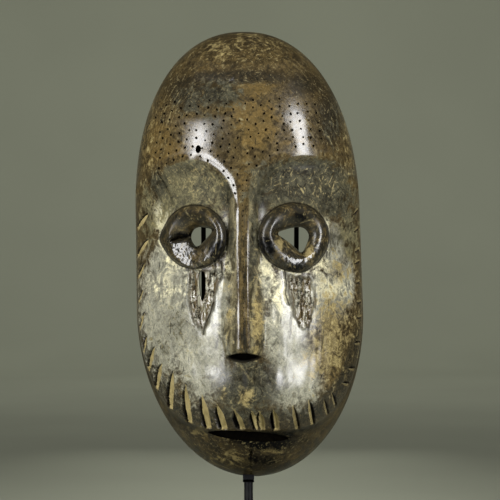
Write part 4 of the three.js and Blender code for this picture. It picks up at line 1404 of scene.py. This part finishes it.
class WoodPaint(Paint):
    """Old wood: dark and handled, with dry residue, grey and ochre patches and bare knife cuts."""

    def __init__(self, tones):
        super().__init__("carved wood")
        self.tones = tones
        upright = self.node("ShaderNodeMapping", {"Vector": self.place, "Scale": (1, 1, 0.12)}).outputs[0]
        self.clouds = self.noise(self.place, 42, 3, 0.55, 0.6)
        self.blotches = self.noise(self.place, 115, 7, 0.64, 1.1)
        self.mottle = self.noise(self.place, 300, 5, 0.62, 0.7)
        self.specks = self.noise(self.place, 1250, 2, 0.6)
        self.fibres = self.noise(upright, 900, 3, 0.6)
        self.streaks = self.noise(upright, 330, 5, 0.66, 0.4)
        lean = {0: self.ranged(self.blotches, 0.47, 0.53), 2: self.strokes(34, 560, 7),
                3: self.strokes(-38, 600, 7)}
        self.brushed = self.node("ShaderNodeMix", lean, data_type="FLOAT").outputs[0]
        self.patches = self.plus((self.blotches, 0.65), (self.mottle, 0.35))
        self.broad = self.plus((self.blotches, 0.85), (self.mottle, 0.15))
        # Painted shade: pits, cracks, grooves and wells are painted near black, rough and without gloss.
        self.cavity_shade = self.largest("pit", "crack", "gouge")
        self.residue_here = self.patch("residue", 0.5, 1.9, 0.8, 0.25)
        self.shaded = self.largest("under", "ring")
        # Near black where dark patches lie on the eye rings and under the face's edge, with painted shadow in
        # the slit of the left eye.
        self.black_and_shade_here = self.times(self.shaded, self.patch("dark"))

    def strokes(self, turn, scale, length):
        """Noise that is drawn out in one direction, turned from the upright by an angle in degrees."""
        inputs = {"Vector": self.place, "Rotation": (0, math.radians(turn), 0), "Scale": (1, 1, length)}
        turned = self.node("ShaderNodeMapping", inputs, vector_type="TEXTURE").outputs[0]
        return self.noise(turned, scale, 2, 0.55)

    def patch(self, name, level=0.45, coarse=1.9, fine=0.9, soft=0.2):
        """Where a finish shows, with edges that follow the blotches of the wood."""
        centre = level + (coarse + fine) / 2
        value = self.plus(self.painted(name), (self.blotches, coarse), (self.mottle, fine))
        return self.ranged(value, centre - soft, centre + soft)

    def grained(self, first, second, pattern=None, soft=0.12, shift=0.0):
        """Two tones in the pattern of the wood."""
        value = self.plus(pattern or self.patches, (self.brushed, 0.14), (self.specks, 0.12))
        middle = 0.63 + shift
        share = self.ranged(value, middle - soft, middle + soft)
        return self.mixed(share, getattr(self.tones, first), getattr(self.tones, second))

    def layered(self, wood, *layers):
        """Layers over the wood, each with the share in which it shows or the name of its finish."""
        for share, layer in layers:
            wood = self.mixed(self.painted(share) if isinstance(share, str) else share, wood, layer)
        return wood

    def grey_patches(self):
        # Grey patches, whose paler grey also stands for painted sheen on the cheeks.
        return self.patch("silver_and_sheen", 0.5, 1.2, 0.6, 0.22), self.grained("grey", "silver_and_sheen", self.broad, 0.16)

    def colour(self):
        streaks = self.streaks
        ochre_here = self.patch("ochre")
        ochre = self.grained("brown_wood", "ochre_wood")
        spots = self.times(self.ranged(self.specks, 0.62, 0.72), self.ranged(self.clouds, 0.4, 0.6, 0.0, 0.5))
        wood = self.layered(
            self.grained("dark_wood", "brown_wood"),
            (self.patch("rust"), self.grained("brown_wood", "rust")),
            (self.patch("dark"), self.grained("black_wood", "dark_wood")),
            ("band", self.grained("black_wood", "brown_wood", streaks)),
            ("nose", self.grained("nose_dark", "nose_light", streaks)),
            self.grey_patches(),
            (self.residue_here, self.grained("silver_and_sheen", "residue", self.broad, 0.16, -0.04)),
            (self.patch("socket"), self.grained("slate", "socket")),
            (self.patch("slate"), self.grained("black_wood", "slate")),
            (ochre_here, ochre),
            (spots, self.tones.fleck),
        )
        shade = self.times(self.ranged(self.brushed, 0.3, 0.7, 0.86, 1.14),
                           self.ranged(self.specks, 0.3, 0.7, 0.85, 1.15))
        shade = self.times(shade, self.ranged(self.mottle, 0.3, 0.7, 0.8, 1.2))
        wood = self.mixed(1.0, wood, self.even(shade), "MULTIPLY")
        lines = self.largest(*[self.ranged(self.strokes(*stroke), low, low + 0.07)
                               for *stroke, low in SCRATCHES])
        cracks = self.largest(*[self.ranged(self.strokes(*stroke), low, low + 0.05, 1.0, 0.0)
                                for *stroke, low in FINE_CRACKS])
        scraped = self.plus((self.painted("scratched"), 0.75), (self.clouds, 0.25), (self.shaded, 0.15))
        scraped = self.times(scraped, self.ranged(self.mottle, 0.42, 0.58, 0.25, 1.0))
        return self.layered(
            wood,
            ("ring", self.grained("ring", "brown_wood", None, 0.1, 0.06)),
            ("under", self.grained("under", "brown_wood", None, 0.12, 0.04)),
            (self.times(cracks, 0.7), self.tones.black_wood),
            (self.times(self.shaded, ochre_here), ochre),
            # Near black dark patches, with painted shadow in the slit of the left eye.
            (self.black_and_shade_here, self.tones.pit),
            (self.times(lines, scraped), self.tones.scratch),
            ("rot", self.grained("brown_wood", "silver_and_sheen", streaks, 0.1, 0.03)),
            ("bare", self.grained("bare_cut", "ochre_wood", streaks)),
            ("inside", self.grained("hollow", "brown_wood", streaks)),
            # Painted shade in pits, cracks, grooves and wells.
            (self.times(self.cavity_shade, 0.96), self.tones.pit),
        )

    def shine(self):
        """How rough the wood is, and the tint that takes the gloss from where it isn't polished."""
        gloss = self.largest("crest", "polish", "worn", "silver_and_sheen")
        handled = self.ranged(self.largest("worn", "polish"), 0.2, 0.8, 1.0, 0.0)
        matt = self.times(self.largest("socket", "nose", "bare", "inside", "under", "dull"), handled)
        dim = self.times(self.painted("ring"), self.ranged(self.painted("crest"), 0.0, 0.7, 1.0, 0.0))
        rough = self.plus(self.ranged(gloss, 0.0, 1.0, 0.27, 0.2),
                          self.ranged(self.mottle, 0.35, 0.65, -0.04, 0.05),
                          (self.residue_here, 0.03), (matt, 0.3), (dim, 0.04), self.cavity_shade)
        rough = self.node("ShaderNodeClamp", {0: rough, 1: 0.12, 2: 1.0}).outputs[0]
        veil = self.largest(self.ranged(gloss, 0.0, 0.8, 0.6, 0.0), self.cavity_shade,
                            self.ranged(matt, 0.05, 0.55, 0.0, 0.97), self.times(dim, 0.6),
                            self.times(self.black_and_shade_here, 0.85))
        return rough, self.even(maths(self.tree, "SUBTRACT", 1.0, veil))

    def relief(self):
        """The height of the fine grain, which is rubbed down where the wood is polished."""
        grain = self.plus((self.fibres, 0.5), (self.brushed, 0.5), (self.specks, 0.4), (self.mottle, 0.9))
        return self.times(grain, self.ranged(self.painted("polish"), 0.0, 1.0, 1.0, 0.45))


def wood_material(tones):
    paint = WoodPaint(tones)
    rough, tint = paint.shine()
    paint.feed("Base Color", paint.colour())
    paint.feed("Roughness", rough)
    paint.feed("Specular Tint", tint)
    paint.bumped(paint.relief(), 0.32, 0.0002)
    return paint.material


def steel_material(tones):
    """Black satin paint with a fine orange-peel surface and worn spots, which both steel pieces share."""
    made = bpy.data.materials.get("black steel")
    if made:
        return made
    paint = Paint("black steel")
    paint.shader.inputs["Specular IOR Level"].default_value = 0.08
    peel = paint.noise(paint.place, 1400, 3, 0.5)
    wear = paint.noise(paint.place, 130, 5, 0.6)
    worn = paint.ranged(wear, 0.35, 0.75)
    paint.feed("Base Color", paint.mixed(worn, tones.steel_black, tones.steel_worn))
    paint.feed("Roughness", paint.ranged(wear, 0.3, 0.7, 0.34, 0.44))
    paint.bumped(peel, 0.25, 0.0001)
    return paint.material


def floor_material(colour):
    """A plain floor, slightly uneven in its tone."""
    paint = Paint("pale floor")
    cloud = paint.ranged(paint.noise(paint.place, 3, 2, 0.5), 0.3, 0.7)
    paint.feed("Base Color", paint.mixed(cloud, colour, [channel * 1.06 for channel in colour]))
    paint.shader.inputs["Roughness"].default_value = 0.9
    return paint.material


def finished_piece(name, mesh, material, replaced):
    """A mesh becomes a piece that rides on the body and stands for its solid."""
    mesh.materials.clear()
    mesh.materials.append(material)
    made = bpy.data.objects.new(name, mesh)
    bpy.context.scene.collection.objects.link(made)
    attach(made, "root")
    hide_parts(replaced)
    return made


def carve_mask(sizes, tones):
    wood = wood_material(tones)
    build = mask_mesh(sizes, punch_marks(sizes, wood), nose_marks(sizes))
    across, depth, height = build.points.T
    points = np.column_stack([across, RIM_Y - depth, CHIN_Z + height]) * MM
    mesh = bpy.data.meshes.new("carved mask")
    mesh.from_pydata(points.tolist(), [], np.vstack(build.triangles).tolist())
    for name in FINISHES:
        layer = mesh.attributes.new(name, "FLOAT", "POINT")
        layer.data.foreach_set("value", np.clip(build.finish[name], 0, 1).astype(np.float32))
    mesh.shade_smooth()
    mesh.set_sharp_from_angle(angle=sizes.crease)
    return finished_piece("carved_mask", mesh, wood, "mask")


# The stand, in millimetres of the frame.
POST_WIDTH = 6
PRONG_WIDTH = 3.2
LEFT_PRONG = -30
RIGHT_PRONG = 32
CROSSBAR_HEIGHT = 40
PRONG_TOP = 230
POST_BEHIND_RIM = 4
CHIN_REST_WIDTH = 7.6
CHIN_REST_THICK = 2.5
CHIN_REST_LIP = 3
CHIN_REST_REACH = 18
CHIN_REST_BEVEL = 0.5
FORK_BELOW_POST_TOP = 2
BAR_SIDES = 24
FIT_GAP = 0.3
PRONG_TIP_GAP = 1.2


def bar_tree():
    """A round bar along a line of straight stretches, with bends of one radius."""
    inputs = [("Bar Radius", "Float"), ("Bend Radius", "Float"), ("Sides", "Int"), ("Material", "Material")]
    tree, start, identifiers = new_geometry_tree("Bent Bar", inputs)
    given = start.outputs
    line = add_node(tree, "GeometryNodeMeshToCurve", {"Mesh": given["Geometry"]})
    bent = add_node(tree, "GeometryNodeFilletCurve",
                    {"Curve": line.outputs[0], "Count": 8, "Radius": given["Bend Radius"],
                     "Limit Radius": True},
                    mode="POLY")
    section = add_node(tree, "GeometryNodeCurvePrimitiveCircle",
                       {"Resolution": given["Sides"], "Radius": given["Bar Radius"]}, mode="RADIUS")
    bar = add_node(tree, "GeometryNodeCurveToMesh",
                   {"Curve": bent.outputs[0], "Profile Curve": section.outputs[0], "Fill Caps": True})
    smooth = add_node(tree, "GeometryNodeSetShadeSmooth", {"Geometry": bar.outputs[0]})
    end_geometry_tree(tree, start, smooth.outputs[0])
    return tree, identifiers


def bend_stand_rod(sizes, tones):
    steel = steel_material(tones)
    foot_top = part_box("stand_foot")[1].z / MM
    post_y = RIM_Y + POST_BEHIND_RIM
    post_top = CHIN_Z + CROSSBAR_HEIGHT
    prong_top = CHIN_Z + PRONG_TOP

    def tip_y(across):
        flat = roll_out([(across, PRONG_TOP + PRONG_WIDTH)], rim_width)
        share = roll_up(flat, rim_width)[1][0]
        return RIM_Y - HOLLOW_DEPTH * math.sqrt(1 - share ** 2) + PRONG_WIDTH / 2 + PRONG_TIP_GAP

    bar_z = post_top - FORK_BELOW_POST_TOP
    fork = [(LEFT_PRONG, tip_y(LEFT_PRONG), prong_top), (LEFT_PRONG, post_y, bar_z),
            (RIGHT_PRONG, post_y, bar_z), (RIGHT_PRONG, tip_y(RIGHT_PRONG), prong_top)]
    post = [(0, post_y, foot_top + FIT_GAP), (0, post_y, post_top)]
    tree, identifiers = bar_tree()
    shell = bmesh.new()
    for line, width, bend in ((fork, PRONG_WIDTH, sizes.fork_bend), (post, POST_WIDTH, 1)):
        mesh = grown_mesh(polyline_object(line), tree, identifiers, {
            "Bar Radius": width / 2 * MM, "Bend Radius": bend * MM, "Sides": BAR_SIDES, "Material": steel,
        })
        shell.from_mesh(mesh)
        bpy.data.meshes.remove(mesh)
    top = CHIN_Z - FIT_GAP
    front = RIM_Y - CHIN_REST_REACH
    half = CHIN_REST_WIDTH / 2
    low = (-half, front, top - CHIN_REST_THICK)
    add_box(shell, low, (half, post_y, top), CHIN_REST_BEVEL)
    add_box(shell, low, (half, front + CHIN_REST_THICK, top + CHIN_REST_LIP), CHIN_REST_BEVEL)
    bmesh.ops.recalc_face_normals(shell, faces=shell.faces)
    mesh = steel_mesh("stand rod", shell, 40)
    return finished_piece("stand_fork_and_post", mesh, steel, "stand_rod")


def steel_mesh(name, shell, sharp_degrees):
    mesh = bpy.data.meshes.new(name)
    shell.to_mesh(mesh)
    shell.free()
    mesh.shade_smooth()
    mesh.set_sharp_from_angle(angle=math.radians(sharp_degrees))
    return mesh


def add_box(shell, low, high, bevel):
    """Adds a box with rounded edges to a bmesh. Sizes are in millimetres."""
    box = bmesh.ops.create_cube(shell, size=1)["verts"]
    low, high = Vector(low) * MM, Vector(high) * MM
    for vertex in box:
        for axis in range(3):
            vertex.co[axis] = high[axis] if vertex.co[axis] > 0 else low[axis]
    edges = list({edge for vertex in box for edge in vertex.link_edges})
    bmesh.ops.bevel(shell, geom=edges, offset=bevel * MM, segments=3, profile=0.5, affect="EDGES")


def make_stand_foot(sizes, tones):
    steel = steel_material(tones)
    low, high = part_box("stand_foot")
    shell = bmesh.new()
    add_box(shell, low / MM, high / MM, sizes.foot_bevel)
    return finished_piece("stand_foot_plate", steel_mesh("stand foot", shell, 50), steel, "stand_foot")


# The stage, in metres.
FLOOR_HALF = 8.0
BACKDROP_BEND = 0.8
BACKDROP_HEIGHT = 4.0
BEND_STEPS = 12
MASK_MIDDLE = Vector((0, 0, (CHIN_Z + MASK_HEIGHT / 2) * MM))
SIDE_LIGHT_HEIGHT = 0.345
SIDE_LIGHT_SIDES = (0.14, 0.63)
TOP_LIGHT_PLACE = (0, -0.9, 1.6)
TOP_LIGHT_SIDES = (1.6, 1.0)
BACK_LIGHT_PLACE = (0, 1.2, 0.27)
BACK_LIGHT_SIDES = (0.4, 0.4)
BACK_LIGHT_SPREAD = math.radians(60)
BACKDROP_LIGHT_GAP = 1.5
BACKDROP_LIGHT_HEIGHT = 1.9
BACKDROP_LIGHT_TARGET = 0.5
BACKDROP_LIGHT_SIDES = (2.5, 0.8)


def lay_floor(stage):
    """A pale floor that sweeps up behind the mask."""
    back = stage.backdrop_distance
    rows = [(-FLOOR_HALF, 0.0)]
    for k in range(BEND_STEPS + 1):
        turn = math.pi / 2 * k / BEND_STEPS
        rows.append((back - BACKDROP_BEND * (1 - math.sin(turn)), BACKDROP_BEND * (1 - math.cos(turn))))
    rows.append((back, BACKDROP_HEIGHT))
    points = [(side * FLOOR_HALF, y, z) for y, z in rows for side in (-1, 1)]
    faces = [(2 * k, 2 * k + 1, 2 * k + 3, 2 * k + 2) for k in range(len(rows) - 1)]
    mesh = bpy.data.meshes.new("floor")
    mesh.from_pydata(points, [], faces)
    mesh.shade_smooth()
    mesh.materials.append(floor_material(stage.floor_colour))
    floor = bpy.data.objects.new("floor", mesh)
    bpy.context.scene.collection.objects.link(floor)


def add_light(name, watts, place, target, sides, spread=math.pi):
    lamp = bpy.data.lights.new(name, "AREA")
    lamp.shape = "RECTANGLE"
    lamp.size, lamp.size_y = sides
    lamp.energy = watts
    lamp.spread = spread
    made = bpy.data.objects.new(name, lamp)
    made.location = place
    made.rotation_euler = (Vector(target) - made.location).to_track_quat("-Z", "Y").to_euler()
    made.visible_camera = False
    bpy.context.scene.collection.objects.link(made)
    return made


def set_lights(stage):
    """Two tall lights beside the mask, one above it, one behind it and one on the backdrop."""
    beside = [("left light", stage.left_light, stage.left_azimuth),
              ("right light", stage.right_light, stage.right_azimuth)]
    for name, watts, azimuth in beside:
        out = Vector((math.sin(azimuth), -math.cos(azimuth), 0)) * stage.light_distance
        add_light(name, watts, (out.x, out.y, SIDE_LIGHT_HEIGHT), MASK_MIDDLE, SIDE_LIGHT_SIDES)
    add_light("top light", stage.top_light, TOP_LIGHT_PLACE, MASK_MIDDLE, TOP_LIGHT_SIDES)
    back = stage.backdrop_distance
    add_light("backdrop light", stage.backdrop_light, (0, back - BACKDROP_LIGHT_GAP, BACKDROP_LIGHT_HEIGHT),
              (0, back, BACKDROP_LIGHT_TARGET), BACKDROP_LIGHT_SIDES)
    behind = add_light("back light", stage.back_light, BACK_LIGHT_PLACE, MASK_MIDDLE, BACK_LIGHT_SIDES,
                       BACK_LIGHT_SPREAD)
    behind.visible_glossy = False
    world = bpy.data.worlds.new("studio")
    world.use_nodes = True
    background = world.node_tree.nodes["Background"]
    background.inputs[0].default_value = (1, 1, 1, 1)
    background.inputs[1].default_value = stage.ambient
    bpy.context.scene.world = world


def set_camera(stage):
    """The camera, straight in front of the mask as in the photograph."""
    lens = bpy.data.cameras.new("camera")
    lens.sensor_width = 36
    lens.lens = stage.lens
    camera = bpy.data.objects.new("camera", lens)
    camera.location = (stage.camera_across * MM, RIM_Y * MM - stage.camera_distance, stage.camera_height)
    camera.rotation_euler = (math.pi / 2, 0, 0)
    bpy.context.scene.collection.objects.link(camera)
    bpy.context.scene.camera = camera
    bpy.context.scene.view_settings.view_transform = "Standard"


def in_mm(name, description, default, low=0.0):
    return FloatProperty(name=name, description=description + ", in millimetres", default=default, min=low)


def in_metres(name, description, default):
    return FloatProperty(name=name, description=description, default=default, min=0, unit="LENGTH")


def in_degrees(name, description, degrees):
    return FloatProperty(name=name, description=description, default=math.radians(degrees), subtype="ANGLE")


def in_watts(name, description, default):
    return FloatProperty(name=name, description=description, default=default, min=0, unit="POWER")


def tone(name, description, default):
    return FloatVectorProperty(name=name, description=description, subtype="COLOR", size=3, default=default,
                               min=0, max=1)


class CarvingSizes(bpy.types.PropertyGroup):
    coarse_gap: in_mm("Coarse Gap", "Distance between points on plain wood", 1.75)
    medium_gap: in_mm("Medium Gap", "Distance between points in the knife cuts", 1.1)
    fine_gap: in_mm("Fine Gap", "Distance between points on eyes and nose", 0.85)
    hollow_gap: in_mm("Hollow Gap", "Distance between points in the hollow", 2.6)
    crease: in_degrees("Crease Angle", "Edges sharper than this stay sharp", 48)
    punch_width: in_mm("Punch Width", "Width of a punched mark", 1.6)
    punch_depth: in_mm("Punch Depth", "Depth of a punched mark", 1.5)
    punch_pitch: in_mm("Punch Pitch", "Distance between marks in a row", 5.7)
    punch_jitter: in_mm("Punch Jitter", "How far a mark may stray", 0.8)
    row_spacing: in_mm("Row Spacing", "Distance between rows of marks", 5.4)
    left_first_row: in_mm("Left First Row", "First row above the left brow", 1.0, -20)
    right_first_row: in_mm("Right First Row", "First row above the right brow", 5.6, -20)
    nose_pitch: in_mm("Nose Pitch", "Distance between the marks down the nose", 3.3)
    nose_mark_width: in_mm("Nose Mark Width", "Width of a mark on the nose", 1.0)
    nose_mark_depth: in_mm("Nose Mark Depth", "Depth of a mark on the nose", 0.8)
    fork_bend: in_mm("Fork Bend", "Radius of the bends in the fork", 9)
    foot_bevel: in_mm("Foot Bevel", "Rounding of the foot's edges", 1.5)


class WoodTones(bpy.types.PropertyGroup):
    dark_wood: tone("Dark Wood", "Handled, dark wood", (0.020, 0.0145, 0.0065))
    black_wood: tone("Black Wood", "Blackened wood", (0.009, 0.008, 0.005))
    brown_wood: tone("Brown Wood", "Brown wood", (0.052, 0.037, 0.014))
    ochre_wood: tone("Ochre Wood", "Ochre wood", (0.155, 0.124, 0.054))
    rust: tone("Rust", "Orange-brown wood", (0.064, 0.042, 0.013))
    slate: tone("Slate", "Grey-black stain", (0.035, 0.033, 0.021))
    socket: tone("Socket", "Green-grey wood under the brow", (0.084, 0.075, 0.039))
    grey: tone("Grey", "Grey wood between the silvery patches", (0.110, 0.107, 0.082))
    # Also a pale painted sheen where the cheeks catch light.
    silver_and_sheen: tone("Silver", "Weathered grey wood", (0.200, 0.193, 0.145))
    residue: tone("Residue", "Pale dry residue", (0.400, 0.370, 0.235))
    fleck: tone("Fleck", "Tan flecks", (0.130, 0.095, 0.040))
    scratch: tone("Scratch", "Tan scratches", (0.200, 0.165, 0.080))
    nose_dark: tone("Nose Dark", "Dark streaks of the nose", (0.018, 0.015, 0.008))
    nose_light: tone("Nose Light", "Light streaks of the nose", (0.100, 0.086, 0.048))
    ring: tone("Ring", "Wood of the eye rings", (0.009, 0.008, 0.005))
    under: tone("Underside", "Wood under the face's edge", (0.012, 0.010, 0.006))
    bare_cut: tone("Bare Cut", "Bare wood in the knife cuts", (0.225, 0.182, 0.085))
    hollow: tone("Hollow", "Wood in the hollow", (0.075, 0.050, 0.026))
    # Painted shade: near black for pits, cracks, grooves and wells, and for the darkest patches.
    pit: tone("Pit", "Dirt in pits and cracks", (0.001, 0.001, 0.001))
    steel_black: tone("Steel Black", "Black paint", (0.004, 0.004, 0.005))
    steel_worn: tone("Steel Worn", "Rubbed black paint", (0.010, 0.010, 0.010))


class StageSettings(bpy.types.PropertyGroup):
    floor_colour: tone("Floor Colour", "Colour of the floor and the backdrop", (0.31, 0.325, 0.24))
    backdrop_distance: in_metres("Backdrop Distance", "How far behind the mask the backdrop rises", 3.4)
    left_light: in_watts("Left Light", "Power of the left light", 5.9)
    right_light: in_watts("Right Light", "Power of the right light", 5.9)
    top_light: in_watts("Top Light", "Power of the top light", 0.7)
    backdrop_light: in_watts("Backdrop Light", "Power of the light on the backdrop", 21)
    back_light: in_watts("Back Light", "Power of the soft light behind the mask", 1.8)
    left_azimuth: in_degrees("Left Azimuth", "Direction of the left light", -43)
    right_azimuth: in_degrees("Right Azimuth", "Direction of the right light", 47)
    light_distance: in_metres("Light Distance", "How far the side lights are from the post", 0.5)
    ambient: FloatProperty(name="Ambient", description="Strength of the light from all around", default=0.06,
                           min=0)
    lens: FloatProperty(name="Lens", description="Focal length", default=159.5, min=1, unit="CAMERA")
    camera_distance: in_metres("Camera Distance", "Camera to the plane of the rim", 1.5)
    camera_across: in_mm("Camera Across", "Camera to the right of the post", 1.0, -50)
    camera_height: in_metres("Camera Height", "Height of the camera", 0.2277)


class CARVEDMASK_OT_mask(bpy.types.Operator):
    """Carves the mask with its eyes, nose, cuts and punched forehead"""
    bl_idname = "carvedmask.mask"
    bl_label = "Carve Mask"

    def execute(self, context):
        carve_mask(context.scene.carving_sizes, context.scene.wood_tones)
        return {"FINISHED"}


class CARVEDMASK_OT_stand_rod(bpy.types.Operator):
    """Bends the fork and puts it on the post with the chin rest"""
    bl_idname = "carvedmask.stand_rod"
    bl_label = "Bend Stand Rod"

    def execute(self, context):
        bend_stand_rod(context.scene.carving_sizes, context.scene.wood_tones)
        return {"FINISHED"}


class CARVEDMASK_OT_stand_foot(bpy.types.Operator):
    """Makes the flat foot of the stand"""
    bl_idname = "carvedmask.stand_foot"
    bl_label = "Make Stand Foot"

    def execute(self, context):
        make_stand_foot(context.scene.carving_sizes, context.scene.wood_tones)
        return {"FINISHED"}


class CARVEDMASK_OT_stage(bpy.types.Operator):
    """Sets the floor, the lights and the camera"""
    bl_idname = "carvedmask.stage"
    bl_label = "Set Stage"

    def execute(self, context):
        stage = context.scene.stage_settings
        lay_floor(stage)
        set_lights(stage)
        set_camera(stage)
        return {"FINISHED"}


class CARVEDMASK_PT_panel(bpy.types.Panel):
    """The steps of the build and their sizes"""
    bl_idname = "CARVEDMASK_PT_panel"
    bl_label = "Carved Mask"
    bl_space_type = "VIEW_3D"
    bl_region_type = "UI"
    bl_category = "Carved Mask"

    def draw(self, context):
        for operator in (CARVEDMASK_OT_mask, CARVEDMASK_OT_stand_rod, CARVEDMASK_OT_stand_foot,
                         CARVEDMASK_OT_stage):
            self.layout.operator(operator.bl_idname)
        for settings in (context.scene.carving_sizes, context.scene.wood_tones, context.scene.stage_settings):
            for name in settings.__annotations__:
                self.layout.prop(settings, name)


CLASSES = (CarvingSizes, WoodTones, StageSettings, CARVEDMASK_OT_mask, CARVEDMASK_OT_stand_rod,
           CARVEDMASK_OT_stand_foot, CARVEDMASK_OT_stage, CARVEDMASK_PT_panel)


def register():
    for each in CLASSES:
        bpy.utils.register_class(each)
    bpy.types.Scene.carving_sizes = PointerProperty(type=CarvingSizes)
    bpy.types.Scene.wood_tones = PointerProperty(type=WoodTones)
    bpy.types.Scene.stage_settings = PointerProperty(type=StageSettings)


def unregister():
    del bpy.types.Scene.carving_sizes
    del bpy.types.Scene.wood_tones
    del bpy.types.Scene.stage_settings
    for each in reversed(CLASSES):
        bpy.utils.unregister_class(each)


def main():
    register()
    bpy.ops.carvedmask.stage()
    bpy.ops.carvedmask.mask()
    bpy.ops.carvedmask.stand_rod()
    bpy.ops.carvedmask.stand_foot()


if __name__ == "__main__":
    main()
